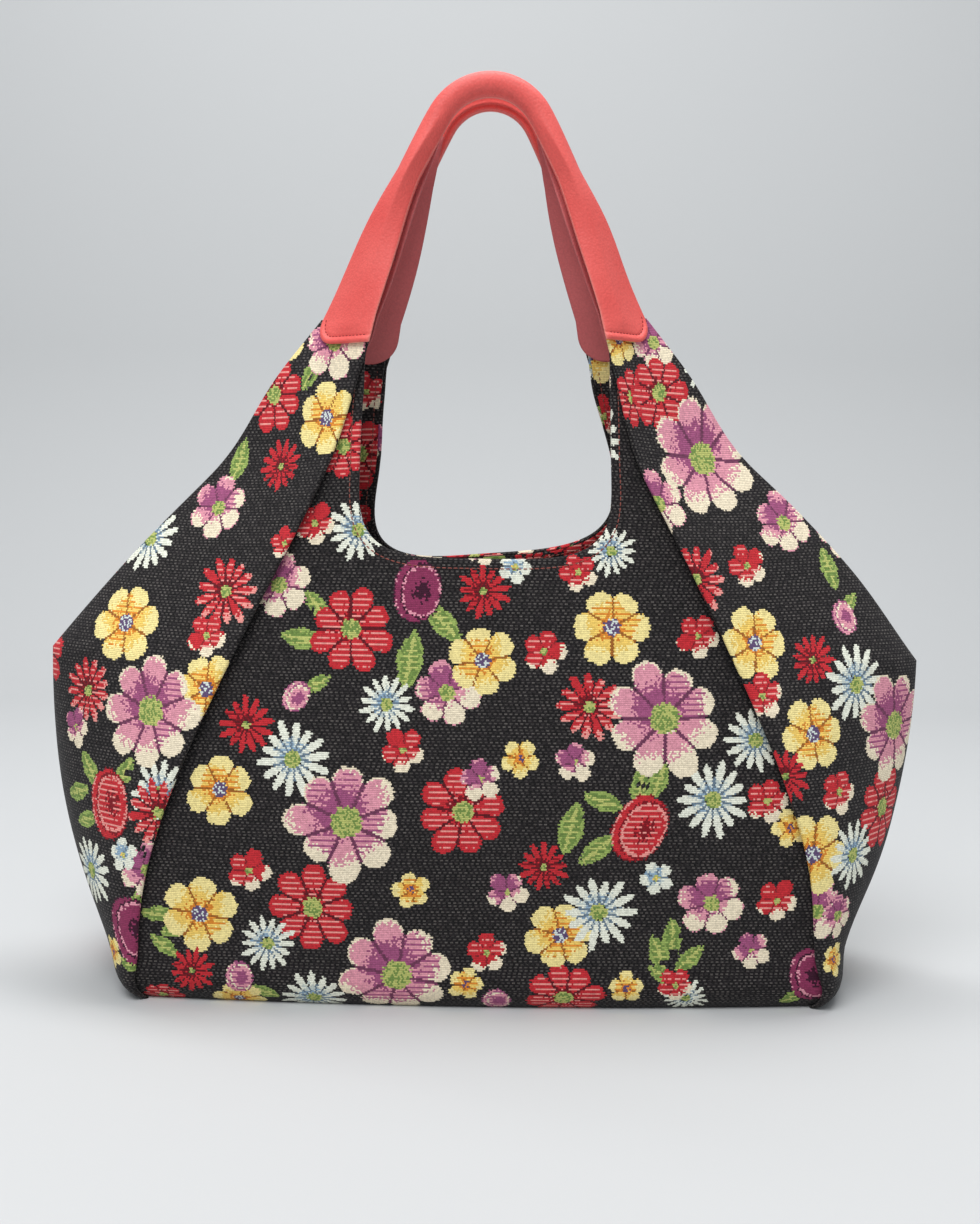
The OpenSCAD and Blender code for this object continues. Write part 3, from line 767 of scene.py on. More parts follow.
def leg_ring(p):
    wide, thick = handle_frame(p)
    # The ring lies level at the tab and turns square to the leg above it
    wide = lerp(TAB_LINE[1], wide, smooth(p / LEG_SQUARE_AT))
    wide /= np.linalg.norm(wide)
    crest = lerp(TAB_CREST, LEG_CREST, smooth(p / LEG_CREST_AT))
    crest *= 1 - smooth((p - LEG_CREST_END[0]) / LEG_CREST_END[1])
    return ring(handle_pt(p), wide, thick, half_wide(p), half_thick(p),
                lerp(STRAP_SQUARE, 2, rolled(p) ** 0.6),
                strap_shape(half_wide(p), half_thick(p), crest, ROLL_SEAM * rolled(p) ** 4))


def whole_handle(half, side):
    """Rings of a handle or its cord from the right half, at the front (1) or the back (-1)."""
    # The mirrored half runs the other way round, so that both halves have the same turn
    rings = np.concatenate([half, mirrored(half[-2::-1], 0)])[:, ::-1]
    return draw_ears(to_back(rings)[:, ::-1] if side < 0 else rings)


def handle(name, side):
    half = [tab_ring(rise) for rise in TAB_ROWS]
    half += [leg_ring(p) for p in np.concatenate([LEG_PLACES, ARCH_PLACES])]
    rings = whole_handle(np.array(half), side)
    return loft(name, rings[..., :3], rings[..., 3])


handles = [dress(handle(face + "_handle_leather", side), "leather", face + "_handle") for face, side in FACES]

CORE_R = 4.4 * MM
CORE_PLACES = np.concatenate([np.linspace(0.62, 1, 14)[:-1], np.linspace(1, 2, 30)])


def handle_core(name, side):
    """Cord in the rolled part of a handle."""
    half = [ring(handle_pt(p), *handle_frame(p), CORE_R, CORE_R, 2)[:, :3] for p in CORE_PLACES]
    return loft(name, whole_handle(np.array(half), side))


cores = [dress(handle_core(face + "_handle_core_cord", side), "cord", face + "_handle_core")
         for face, side in FACES]

BACKING_ROWS = np.array([0, 0.25, 0.7, 1.4, 2.4, 3.6, 5, 6.6, 8.2, 10, 12.5, 15, 18.5, 22]) * MM
BACKING_PLACES = BACKING_REACH * np.linspace(0, 1, 22)[1:]
BACKING_LINE = ear_line(EAR_Z, FACING_K + FACING_T)
BACKING_HALF = strap_half(BACKING_LINE[3], BACKING_SHARE)
BACKING_TIP = 2 * MM           # half width of the backing's upper end
BACKING_LAPS = {1: 2 * MM, -1: 6.5 * MM}    # past the ear's inner edge, at the front and the back


def backing_ring(rise, lap):
    """Ring of a backing on the ear's line, at a rise above its round lower end."""
    a, run, out, length = ear_line(EAR_Z - BACKING_H + rise, FACING_K + FACING_T)
    full = strap_half(length, BACKING_SHARE)
    return ring(a + run * (full - lap) - out * (STRAP_SEAT + LEATHER_T / 2), run, out,
                full - corner_cut(rise), LEATHER_T / 2 * thin_end(rise), STRAP_SQUARE)


def backing_leg_ring(p, lap):
    """Ring of the backing at a place along the leg, closing on the leg as it rises."""
    wide, thick = handle_frame(p)
    close = smooth(p / BACKING_REACH)
    half = lerp(BACKING_HALF, BACKING_TIP, (p / BACKING_REACH) ** 1.6)
    on_leg = (handle_pt(p) - thick * (half_thick(p) + STRAP_SEAT + LEATHER_T / 2)
              - wide * ((half_wide(p) - half) * (1 - 0.5 * close) + (lap - TAB_LAP) * (1 - close)))
    free = (BACKING_LINE[0] + BACKING_LINE[1] * (BACKING_HALF - lap)
            - BACKING_LINE[2] * (STRAP_SEAT + LEATHER_T / 2) + handle_pt(p) - TAB_MID)
    wide = lerp(BACKING_LINE[1], wide, close)
    thick = lerp(BACKING_LINE[2], thick, close)
    # The upper end is thinned round
    thin = math.sqrt(1 - END_THIN * max(0.0, (p / BACKING_REACH - 0.95) / 0.05) ** 2)
    return ring(lerp(free, on_leg, close), wide / np.linalg.norm(wide), thick / np.linalg.norm(thick),
                half, LEATHER_T / 2 * thin, STRAP_SQUARE)


def backing(name, across, side):
    """Backing on the right (1) or left (-1) ear of the front (1) or back (-1)."""
    lap = BACKING_LAPS[side]
    rings = [backing_ring(rise, lap) for rise in BACKING_ROWS]
    rings = np.array(rings + [backing_leg_ring(p, lap) for p in BACKING_PLACES])[..., :3]
    if side < 0:
        rings = to_back(rings)
    rings = draw_ears(rings if across > 0 else mirrored(rings, 0))
    return loft(name, rings[:, ::-1] if across == side else rings)


backings = []
for face, side in FACES:
    for hand, across in (("right", 1), ("left", -1)):
        node = f"{face}_{hand}_backing"
        backings.append(dress(backing(node + "_leather", across, side), "leather", node))

# Magnetic snap

LATHE_SIDES = 64


def lathe(name, profile, spot, axis):
    """Turned piece from (radius, height) points, standing on spot along axis."""
    axis = np.array(axis) / np.linalg.norm(axis)
    one = np.cross(axis, [1.0, 0, 0])
    one /= np.linalg.norm(one)
    two = np.cross(axis, one)
    a = np.linspace(0, 2 * np.pi, LATHE_SIDES + 1)[:-1]
    turn = np.cos(a)[:, None] * one + np.sin(a)[:, None] * two
    rings = np.array([spot + axis * h + turn * r for r, h in profile])
    return loft(name, rings)


def facing_y(z, k):
    return front_pt(np.float64(0), np.float64(z), k)[1]


SNAP_LEAN = math.atan2(facing_y(SNAP_Z + SNAP_DIA / 2, 0) - facing_y(SNAP_Z - SNAP_DIA / 2, 0), SNAP_DIA)
SNAP_AXIS = np.array([0, math.cos(SNAP_LEAN), -math.sin(SNAP_LEAN)])
SNAP_SPOT = np.array([0, facing_y(SNAP_Z, FACING_K + SEAT + FACING_T), SNAP_Z])
SOCKET_PROFILE = [(8.6, 0), (9, 0.3), (9, 2.6), (8.7, 3.1), (8.1, 3.45), (7.2, 3.6), (5.6, 3.6), (5.3, 3.45),
                  (4.9, 3.3), (4.2, 3.3), (3.8, 3.45), (3.4, 3.4), (3.2, 3.1), (3.2, 1.2)]
STUD_PROFILE = [(8.6, 0), (9, 0.3), (9, 1.3), (8.7, 1.75), (8.0, 2), (5.2, 2), (4.8, 1.85), (4.2, 1.75),
                (3.6, 1.9), (3, 2.1), (3, 3.3), (2.8, 3.6), (2.4, 3.8)]
socket = lathe("snap_socket_turned", np.array(SOCKET_PROFILE) * MM, SNAP_SPOT, SNAP_AXIS)
stud = lathe("snap_stud_turned", np.array(STUD_PROFILE) * MM, mirrored(SNAP_SPOT, 1), mirrored(SNAP_AXIS, 1))
dress(socket, "snap", "snap_socket")
dress(stud, "snap", "snap_stud")

# Stitches

STITCH_RINGS = ((-0.5, 0.3, -0.8), (-0.42, 0.75, -0.3), (-0.2, 1, 0.3), (0.2, 1, 0.3), (0.42, 0.75, -0.3),
                (0.5, 0.3, -0.8))    # place along the stitch, share of its radius, lift in radii
STITCH_SIDES = 8


def stitches(name, paths, pitch, length, radius):
    """Rows of short round threads that dive at both ends. A path is points and outward directions."""
    verts, faces = [], []
    turn = np.linspace(0, 2 * np.pi, STITCH_SIDES + 1)[:-1]
    tube = capped_tube(len(STITCH_RINGS), STITCH_SIDES)
    for points, outward in paths:
        run = along(points[None])[0]

        def at(values, place):
            return np.array([np.interp(place, run, values[:, i]) for i in range(3)])

        for place in np.arange(pitch / 2, run[-1] - pitch / 2, pitch):
            first, second = at(points, place - length / 2), at(points, place + length / 2)
            along_it = (second - first) / np.linalg.norm(second - first)
            out = at(outward, place)
            out -= along_it * (out @ along_it)
            out /= np.linalg.norm(out)
            side = np.cross(along_it, out)
            start = len(verts)
            for share, thick, lift in STITCH_RINGS:
                mid = at(points, place + share * length) + out * lift * radius
                verts.extend(mid + radius * thick * (np.cos(t) * out + np.sin(t) * side) for t in turn)
            faces.extend(tuple(start + i for i in f) for f in tube)
    return link(name, verts, faces)


def cloth_path(x, z, k, side, inward=1):
    """Path on the front or back cloth k inside its shape, with its outward directions."""
    step = 0.5 * MM
    points = front_pt(np.abs(x), z, k)
    points[:, 0] = x
    slope_x = (front_pt(np.abs(x) + step, z, k)[:, 1] - points[:, 1]) / step * np.sign(x)
    slope_z = (front_pt(np.abs(x), z + step, k)[:, 1] - points[:, 1]) / step
    outward = np.stack([slope_x, -np.ones_like(x), slope_z], -1) * inward
    if side < 0:
        points, outward = to_back(points), mirrored(outward, 1)
    return soften(points), outward


def mouth_path(side, k, inset, until, inward=1):
    """Path along the mouth from ear to ear, inset from its edge."""
    c = np.linspace(0, until, 240)
    x, z = mouth_xz(c)
    out = mouth_out(c)
    x, z = np.maximum(0, x - out[:, 0] * inset), z - out[:, 2] * inset
    return cloth_path(np.concatenate([-x[:0:-1], x]), np.concatenate([z[:0:-1], z]), k, side, inward)


def tab_point(across, rise):
    """Place on a tab's outer face."""
    a, run, out, _ = ear_line(EAR_Z - TAB_OVERLAP + rise, 0.0)
    local = tab_ring(rise)[:, :3] - a
    wide, high = local @ run + TAB_LAP, local @ out
    face = high > STRAP_SEAT + TAB_T * 0.6
    order = np.argsort(wide[face])
    return a + run * (across - TAB_LAP) + out * np.interp(across, wide[face][order], high[face][order]), out


def tab_paths(side):
    """Paths of the sewing round the lower ends of a handle's two tabs."""
    width = 2 * TAB_HALF
    keep = 1 - SEW_IN / TAB_CORNER_H
    spots = [(across, SEW_IN) for across in np.linspace(SEW_START, width - TAB_CORNER_W, 24)]
    spots += [(width - TAB_CORNER_W * (1 - keep * math.sin(t)), TAB_CORNER_H * (1 - keep * math.cos(t)))
              for t in np.linspace(0, np.pi / 2, 16)[1:]]
    spots += [(spots[-1][0], TAB_CORNER_H + SEW_ABOVE)]
    points, outward = [np.array(v) for v in zip(*[tab_point(*spot) for spot in spots])]
    found = []
    for placed, facing in ((points, outward), (mirrored(points, 0), mirrored(outward, 0))):
        if side < 0:
            placed, facing = to_back(placed), mirrored(facing, 1)
        found.append((draw_ears(placed), facing))
    return found


def pocket_path():
    """Path down one side of the pocket, along its foot and up the other side."""
    half, low, high = POCKET_W / 2 - POCKET_SEW_IN, POCKET_Z + POCKET_SEW_IN, POCKET_Z + POCKET_H
    corners = np.array([(-half, high), (-half, low), (half, low), (half, high)])
    t = np.linspace(0, 3, 400)
    x, z = [np.interp(t, range(4), corners[:, i]) for i in (0, 1)]
    return cloth_path(x, z, pocket_depth(np.abs(x), z, LINING_IN + LINING_T), -1, -1)


EAR_STOP = 0.90                # places along the mouth where the tab and the backing hide the sewing
FACING_STOP = 0.85
SEAM_IN = 3 * MM
FACE_INSIDE = FACING_K + FACING_T
MOUTH_STITCH = (3.0 * MM, 2.4 * MM, 0.32 * MM)    # pitch, length and radius
TAB_STITCH = (2.3 * MM, 1.8 * MM, 0.27 * MM)
POCKET_STITCH = (3.0 * MM, 2.4 * MM, 0.25 * MM)
mouth_stitches = []
for face, side in FACES:
    rows = [mouth_path(side, FRONT_K, SEAM_IN, EAR_STOP),
            mouth_path(side, FACE_INSIDE, SEAM_IN, FACING_STOP, -1)]
    mouth_stitches.append(dress(stitches(face + "_mouth_stitches", rows, *MOUTH_STITCH), "tapestry"))
tab_stitches = [dress(stitches(face + "_tab_stitches", tab_paths(side), *TAB_STITCH), "leather")
                for face, side in FACES]
pocket_stitches = dress(stitches("pocket_stitches", [pocket_path()], *POCKET_STITCH), "lining")

# Cut sizes of the cloth, from the built rows and columns or estimated, and the area of one face

# Camera

PHOTO_W, PHOTO_H = 980, 1224
CAMERA_SPOT = (0.0063, -0.7123, 0.266)
CAMERA_FOCAL = 1292            # in photo pixels
CAMERA_DOWN = math.radians(5.18)
CAMERA_LEFT = math.radians(0.26)
CAMERA_ROLL = math.radians(0.75)
CAMERA_TURN = (Matrix.Rotation(CAMERA_LEFT, 3, "Z") @ Matrix.Rotation(math.pi / 2 - CAMERA_DOWN, 3, "X")
               @ Matrix.Rotation(CAMERA_ROLL, 3, "Z"))


def make_camera():
    data = bpy.data.cameras.new("camera")
    data.sensor_width = 36
    data.lens = CAMERA_FOCAL * data.sensor_width / PHOTO_H
    data.clip_start = 0.01
    cam = bpy.data.objects.new("camera", data)
    bpy.context.scene.collection.objects.link(cam)
    cam.location = CAMERA_SPOT
    cam.rotation_euler = CAMERA_TURN.to_euler()
    bpy.context.scene.camera = cam


make_camera()

# Woven flowers. Each face of the tapestry names up to three flowers, and its material draws them.

COLOURS = {  # in the 0 to 255 steps of a screen colour
    "plum": (158, 82, 122), "pink": (222, 150, 166), "cream": (238, 224, 196), "wine": (138, 52, 88),
    "dark_red": (132, 20, 32), "red": (196, 44, 52), "rose": (232, 150, 142), "deep": (62, 22, 44),
    "yellow": (242, 204, 104), "pale_yellow": (242, 224, 152), "orange": (224, 138, 48),
    "white": (232, 234, 218), "blue_grey": (146, 174, 196), "grey": (204, 214, 208),
    "lime": (188, 194, 112), "green": (112, 138, 70), "pale_green": (150, 172, 92), "purple": (98, 78, 116),
}
# How each kind of flower is drawn, in shares of its radius:
# petals, their half width, middle, half length and squareness, centre, wobble;
# tone where the middle colour starts and ends, rim, hatch; lit side, vein, rings;
# colours near the centre, in the middle, of the tip, hatch and rim, and two of the centre
FLOWERS = {
    "none": (1, 0.1, 0.5, 0.1, 2.0, 0, 0, 0.5, 0.6, 2.0, 0, 0, 0, 0, "deep deep deep deep deep deep deep"),
    "cosmos": (8, 0.27, 0.60, 0.40, 2.6, 0.26, 0.22, 0.40, 0.80, 0.78, 0.25, 0.20, 0, 0,
               "plum pink cream plum cream lime green"),
    "red": (8, 0.27, 0.58, 0.42, 2.7, 0.23, 0.18, 0.30, 1.60, 2.00, 0.80, 0.06, 0, 0,
            "dark_red red red rose dark_red lime green"),
    "yellow": (6, 0.36, 0.57, 0.43, 2.9, 0.22, 0.14, 0.31, 0.62, 2.00, 0.30, -0.16, 0, 0,
               "orange yellow pale_yellow orange orange purple grey"),
    "daisy": (14, 0.105, 0.60, 0.40, 2.5, 0.22, 0.22, 0.26, 0.44, 2.00, 0.10, 0.10, 0, 0,
              "blue_grey grey white blue_grey blue_grey lime green"),
    "red_daisy": (13, 0.12, 0.56, 0.44, 2.5, 0.13, 0.22, 0.26, 0.98, 2.00, 0.20, 0.10, 0, 0,
                  "dark_red red red dark_red dark_red lime green"),
    "big_red_daisy": (13, 0.13, 0.57, 0.43, 2.5, 0.17, 0.18, 0.28, 0.90, 2.00, 0.70, 0.14, 0, 0,
                      "dark_red red rose rose dark_red lime green"),
    "anemone": (6, 0.34, 0.57, 0.43, 2.7, 0.24, 0.18, 0.38, 0.68, 0.88, 0.25, 0.36, 0, 0,
                "plum pink cream plum pink lime green"),
    "small_red": (5, 0.38, 0.55, 0.45, 2.6, 0.16, 0.14, 0.16, 0.92, 2.00, 0.60, 0.42, 0, 0,
                  "red red cream rose dark_red lime green"),
    "small_pink": (5, 0.38, 0.55, 0.45, 2.6, 0.15, 0.16, 0.46, 0.72, 2.00, 0.30, 0.46, 0, 0,
                   "plum pink cream plum plum lime plum"),
    "small_yellow": (5, 0.38, 0.55, 0.45, 2.6, 0.20, 0.12, 0.32, 0.60, 2.00, 0.30, -0.12, 0, 0,
                     "orange yellow pale_yellow orange orange purple orange"),
    "small_white": (5, 0.36, 0.55, 0.45, 2.5, 0.18, 0.12, 0.34, 0.48, 2.00, 0.20, 0.15, 0, 0,
                    "blue_grey grey white blue_grey blue_grey lime yellow"),
    "plum_bud": (1, 0.72, 0.05, 0.95, 2.2, 0, 0, 0.16, 0.84, 0.95, 0.10, 0, 0, 1,
                 "deep wine pink plum deep plum plum"),
    "red_bud": (1, 0.70, 0.05, 0.95, 2.2, 0, 0, 0.16, 0.80, 0.95, 0.20, 0, 0, 1,
                "dark_red red rose rose dark_red red red"),
    "little_bud": (1, 0.72, 0.05, 0.90, 2.1, 0, 0, 0.30, 0.80, 0.92, 0.20, 0, 0, 1,
                   "plum pink cream plum plum plum plum"),
    "leaf": (1, 0.46, 0, 1.00, 1.5, 0, 0, 0.14, 0.62, 0.80, 0.75, 0, 1, 0,
             "lime green pale_green lime pale_green green green"),
}
KINDS = tuple(FLOWERS)
LEAF, *BUDS = [KINDS.index(kind) for kind in ("leaf", "plum_bud", "red_bud", "little_bud")]
LEAF_R = 11 * MM
# Rough places of the flowers that the photo shows on the front: photo column, photo row, radius in mm
FRONT_FLOWERS = {
    "leaf": [(307, 371, 10), (237, 458, 12), (88, 771, 11), (76, 795, 11), (84, 817, 10), (122, 778, 11),
             (124, 810, 9), (122, 921, 9), (132, 907, 9), (161, 919, 10), (172, 931, 9), (161, 948, 9),
             (130, 967, 8), (314, 603, 10), (299, 637, 12), (316, 681, 8), (261, 993, 9), (439, 619, 13),
             (407, 657, 15), (575, 831, 14), (601, 805, 11), (598, 851, 12), (645, 793, 12), (661, 785, 10),
             (674, 941, 11), (661, 958, 11), (688, 960, 10), (663, 976, 9), (795, 1001, 9), (850, 601, 9),
             (832, 569, 12)],
    "anemone": [(331, 340, 20), (217, 507, 18), (278, 585, 18), (150, 869, 15), (450, 690, 17.5),
                (655, 504, 18), (712, 905, 18), (817, 910, 17), (657, 344, 16), (788, 519, 18),
                (840, 914, 12)],
    "red": [(270, 392, 20), (343, 444, 18), (349, 629, 22), (314, 909, 23), (164, 998, 12), (470, 816, 23.5),
            (567, 999, 21), (635, 399, 14), (663, 394, 20), (884, 807, 22)],
    "yellow": [(323, 420, 19), (125, 618, 21), (205, 690, 18), (219, 788, 18), (200, 914, 20),
               (240, 1000, 14), (613, 626, 20), (489, 656, 18), (562, 937, 18), (623, 339, 14),
               (757, 639, 19), (814, 731, 19), (817, 856, 21)],
    "daisy": [(148, 537, 19), (159, 793, 18), (90, 873, 19), (357, 527, 17), (292, 759, 19.5),
              (268, 944, 15), (316, 1001, 18), (614, 550, 13), (388, 701, 14.5), (603, 915, 20),
              (756, 735, 17), (714, 801, 20), (688, 1002, 12), (859, 680, 20), (859, 856, 17)],
    "red_daisy": [(278, 464, 14), (241, 725, 14.5), (193, 973, 12.5), (482, 589, 14), (546, 869, 13.5),
                  (790, 776, 14), (813, 658, 13)],
    "big_red_daisy": [(225, 589, 19), (87, 686, 17), (164, 815, 18), (591, 707, 17.5), (694, 582, 18)],
    "cosmos": [(150, 707, 29), (344, 824, 31), (397, 977, 30), (665, 719, 30), (707, 458, 31),
               (898, 724, 29)],
    "plum_bud": [(139, 936, 19), (420, 589, 17), (809, 977, 16)],
    "red_bud": [(104, 807, 19), (638, 832, 19)],
    "little_bud": [(294, 697, 9), (240, 979, 10), (495, 1003, 10), (849, 619, 10)],
    "small_red": [(204, 636, 11.5), (281, 541, 9), (312, 524, 11.5), (250, 871, 11.5), (578, 568, 10),
                  (548, 648, 11.5), (403, 748, 11.5), (488, 955, 10.5), (700, 633, 11.5), (772, 801, 12),
                  (779, 905, 11.5), (674, 988, 10), (750, 566, 12), (766, 696, 12), (841, 795, 12)],
    "small_pink": [(75, 726, 10.5), (573, 758, 10.5), (489, 785, 11), (507, 894, 11), (756, 951, 10.5)],
    "small_yellow": [(109, 950, 9), (523, 758, 10), (413, 891, 10), (462, 987, 9.5), (624, 993, 9.5),
                     (792, 831, 10), (836, 958, 9)],
    "small_white": [(119, 856, 9), (510, 563, 9), (660, 880, 9)],
}
# Scattered elsewhere: how often each kind comes, and its radius in mm
SCATTER = (("cosmos", 3, 30), ("red", 4, 21), ("yellow", 4, 19), ("daisy", 5, 18), ("red_daisy", 3, 14),
           ("big_red_daisy", 2, 18), ("anemone", 4, 18), ("plum_bud", 1, 17), ("red_bud", 1, 19),
           ("small_red", 5, 11.5), ("small_pink", 3, 10.5), ("small_yellow", 3, 10), ("small_white", 1, 9))
SPACING = 0.86                 # distance between flowers over the sum of their radii
NEAR_PIXELS = 3                # cloth this close to a flower's place may carry it, and the nearest does
SCATTER_TRIES = 2600
LEAF_CHANCE = 0.4
CLEAR = 9 * MM                 # scattered flowers keep this far from the cloth that the photo shows
SLOTS = 3                      # flowers that one face can name
REACH, REACH_MORE = 1.12, 3.4 * MM    # a face names a flower within this many radii and a little more
LEAF_GAP = 3 * MM              # from a scattered flower's edge to the middle of its leaf


def photo_place(points):
    """Photo columns and rows of points, and their distances from the camera."""
    local = (points - np.array(CAMERA_SPOT)) @ np.array(CAMERA_TURN)
    away = -local[:, 2]
    across, up = [CAMERA_FOCAL * local[:, i] / away for i in (0, 1)]
    return np.stack([PHOTO_W / 2 + across, PHOTO_H / 2 - up], -1), away


def face_cloth(piece):
    """Cloth coordinates of each face's middle, and of each vertex."""
    mesh = piece.data
    loops = read(mesh.uv_layers["cloth"].data, "uv", 2, np.float32).astype(float)
    verts = np.zeros((len(mesh.vertices), 2))
    verts[read(mesh.loops, "vertex_index", 1, np.int32)[:, 0]] = loops
    start = read(mesh.polygons, "loop_start", 1, np.int32)[:, 0]
    size = np.diff(np.append(start, len(loops)))
    return np.add.reduceat(loops, start, axis=0) / size[:, None], verts


def seen_front(piece):
    """Photo places, distances and cloth coordinates of the vertices that face the camera."""
    points, normals = [read(piece.data.vertices, name, 3) for name in ("co", "normal")]
    facing = ((np.array(CAMERA_SPOT) - points) * normals).sum(1) > 0
    places, away = photo_place(points[facing])
    return places, away, face_cloth(piece)[1][facing]


def front_flowers(piece, rng):
    """Flowers of the front, each at the cloth that shows at its place in the photo."""
    places, away, cloth = seen_front(piece)
    found = []
    for kind, spots in FRONT_FLOWERS.items():
        for column, row, radius in spots:
            gap = np.hypot(places[:, 0] - column, places[:, 1] - row)
            near = gap < gap.min() + NEAR_PIXELS
            i = np.flatnonzero(near)[away[near].argmin()]
            angle, seed = rng.uniform(0, 2 * np.pi), rng.uniform(0, 50)
            found.append([*cloth[i], radius * MM, angle, KINDS.index(kind), seed])
    return found


def turn_leaves(flowers, rng):
    """Points each leaf away from the nearest flower, and most buds up."""
    others = np.array([f[:2] for f in flowers if f[4] != LEAF])
    for f in flowers:
        if f[4] == LEAF:
            gap = np.array(f[:2]) - others
            near = gap[np.hypot(gap[:, 0], gap[:, 1]).argmin()]
            f[3] = math.atan2(near[1], near[0]) + rng.uniform(-0.4, 0.4)
        elif f[4] in BUDS:
            f[3] = np.pi / 2 + rng.uniform(-0.7, 0.7)
    return flowers


def scatter(low, high, flowers, blocked, rng):
    """Fills the cloth between two corners with flowers where nothing else is."""
    names = [n for n, often, _ in SCATTER for _ in range(often)]
    radii = {n: r for n, _, r in SCATTER}
    for _ in range(SCATTER_TRIES):
        kind = names[rng.integers(len(names))]
        radius = radii[kind] * MM * rng.uniform(0.92, 1.06)
        spot = rng.uniform(low, high)
        angle, seed = rng.uniform(0, 2 * np.pi), rng.uniform(0, 50)
        with_leaf, leaf_turn = rng.uniform() < LEAF_CHANCE, rng.uniform(0, 2 * np.pi)
        if flowers:
            old = np.array([f[:3] for f in flowers])
            if (np.hypot(*(old[:, :2] - spot).T) < SPACING * (old[:, 2] + radius)).any():
                continue
        if blocked is not None and (np.hypot(*(blocked - spot).T) < CLEAR).any():
            continue
        if with_leaf:
            out = np.array([math.cos(leaf_turn), math.sin(leaf_turn)])
            flowers.append([*(spot + out * (radius + LEAF_GAP)), LEAF_R, leaf_turn, LEAF, seed])
        flowers.append([*spot, radius, angle, KINDS.index(kind), seed])
    return flowers


def name_flowers(piece, flowers):
    """Writes the top flowers over each face as face attributes."""
    middle, _ = face_cloth(piece)
    place = np.zeros((SLOTS, len(middle), 3))
    style = np.zeros((SLOTS, len(middle), 3))
    for u, v, radius, angle, kind, seed in flowers:
        over = np.hypot(middle[:, 0] - u, middle[:, 1] - v) < radius * REACH + REACH_MORE
        place[1:, over] = place[:-1, over]
        style[1:, over] = style[:-1, over]
        place[0, over] = (u, v, radius)
        style[0, over] = (angle, kind, seed)
    for slot in range(SLOTS):
        for name, values in (("place", place), ("style", style)):
            layer = piece.data.attributes.new(f"{name}_{slot}", "FLOAT_VECTOR", "FACE")
            layer.data.foreach_set("vector", values[slot].astype(np.float32).ravel())


def flower_cloth(piece, seed, front=False):
    rng = np.random.default_rng(seed)
    flowers, blocked = [], None
    if front:
        flowers = turn_leaves(front_flowers(piece, rng), rng)
        blocked = seen_front(piece)[2][::7]
    _, cloth = face_cloth(piece)
    name_flowers(piece, scatter(cloth.min(0), cloth.max(0), flowers, blocked, rng))


flower_cloth(front_panel, 11, front=True)
flower_cloth(back_panel, 23)
flower_cloth(front_facing, 31)
flower_cloth(back_facing, 47)
flower_cloth(base_panel, 53)


# Short calls for material nodes

def linear(*rgb):
    """Linear colour from the 0 to 255 steps of a screen colour."""
    c = np.array(rgb) / 255
    return (*np.where(c <= 0.04045, c / 12.92, ((c + 0.055) / 1.055) ** 2.4).tolist(), 1.0)


def signs(operation):
    """The methods of a sign that adds a maths node, for a value before the sign and one after it."""
    return (lambda value, other: value.graph.math(operation, value, other),
            lambda value, other: value.graph.math(operation, other, value))


class Value:
    """Number that a node gives, for sums in plain signs."""
    __add__, __radd__ = signs("ADD")
    __sub__, __rsub__ = signs("SUBTRACT")
    __mul__, __rmul__ = signs("MULTIPLY")
    __truediv__, __rtruediv__ = signs("DIVIDE")
    __mod__ = signs("FLOORED_MODULO")[0]
    __pow__ = signs("POWER")[0]
    __lt__ = signs("LESS_THAN")[0]
    __gt__ = signs("GREATER_THAN")[0]

    def __init__(self, graph, socket):
        self.graph = graph
        self.socket = socket

    def __abs__(self):
        return self.graph.math("ABSOLUTE", self)


class Graph:
    """Calls for the nodes of one node tree. Arguments are values, sockets or plain numbers."""

    def __init__(self, tree):
        self.tree = tree

    def put(self, socket, value):
        value = value.socket if isinstance(value, Value) else value
        if isinstance(value, bpy.types.NodeSocket):
            self.tree.links.new(value, socket)
        else:
            socket.default_value = value

    def fill(self, node, inputs):
        for name, value in inputs.items():
            self.put(node.inputs[name], value)

    def node(self, kind, inputs=None, **settings):
        made = self.tree.nodes.new(kind)
        for name, value in settings.items():
            setattr(made, name, value)
        self.fill(made, inputs or {})
        return made

    def surface(self, inputs):
        self.fill(self.tree.nodes["Principled BSDF"], inputs)

    def number(self, kind, output, inputs=None, **settings):
        return Value(self, self.node(kind, inputs, **settings).outputs[output])

    def math(self, operation, *values):
        return self.number("ShaderNodeMath", 0, dict(enumerate(values)), operation=operation)

    def mix(self, share, low, high):
        """Colour that goes from low to high."""
        return self.node("ShaderNodeMix", {"Factor": share, 6: low, 7: high}, data_type="RGBA").outputs[2]

    def lerp(self, share, low, high):
        return self.number("ShaderNodeMix", 0, {"Factor": share, 2: low, 3: high}, data_type="FLOAT")

    def scaled(self, colour, scale):
        made = self.node("ShaderNodeVectorMath", {"Vector": colour, "Scale": scale}, operation="SCALE")
        return made.outputs[0]

    def parts(self, vector):
        return [Value(self, s) for s in self.node("ShaderNodeSeparateXYZ", {"Vector": vector}).outputs]

    def vector(self, x, y, z=0.0):
        return self.node("ShaderNodeCombineXYZ", {"X": x, "Y": y, "Z": z}).outputs[0]

    def cloth(self):
        """The two cloth coordinates."""
        return self.parts(self.node("ShaderNodeUVMap", uv_map="cloth").outputs[0])[:2]

    def spot(self):
        return self.node("ShaderNodeTexCoord").outputs["Object"]

    def noise(self, vector, scale, detail=2.0, rough=0.5):
        return self.number("ShaderNodeTexNoise", "Fac", {"Vector": vector, "Scale": scale, "Detail": detail,
                                                         "Roughness": rough})

    def chance(self, vector):
        """A number from 0 to 1 that is the same all over each cell of a grid with pitch 1."""
        return self.number("ShaderNodeTexWhiteNoise", "Value", {"Vector": vector}, noise_dimensions="3D")

    def bump(self, height, depth, strength):
        made = self.node("ShaderNodeBump", {"Height": height, "Distance": depth, "Strength": strength})
        return made.outputs[0]


def new_material(name):
    mat = bpy.data.materials.new(name)
    mat.use_nodes = True
    return mat, Graph(mat.node_tree)


# Backdrop and lights

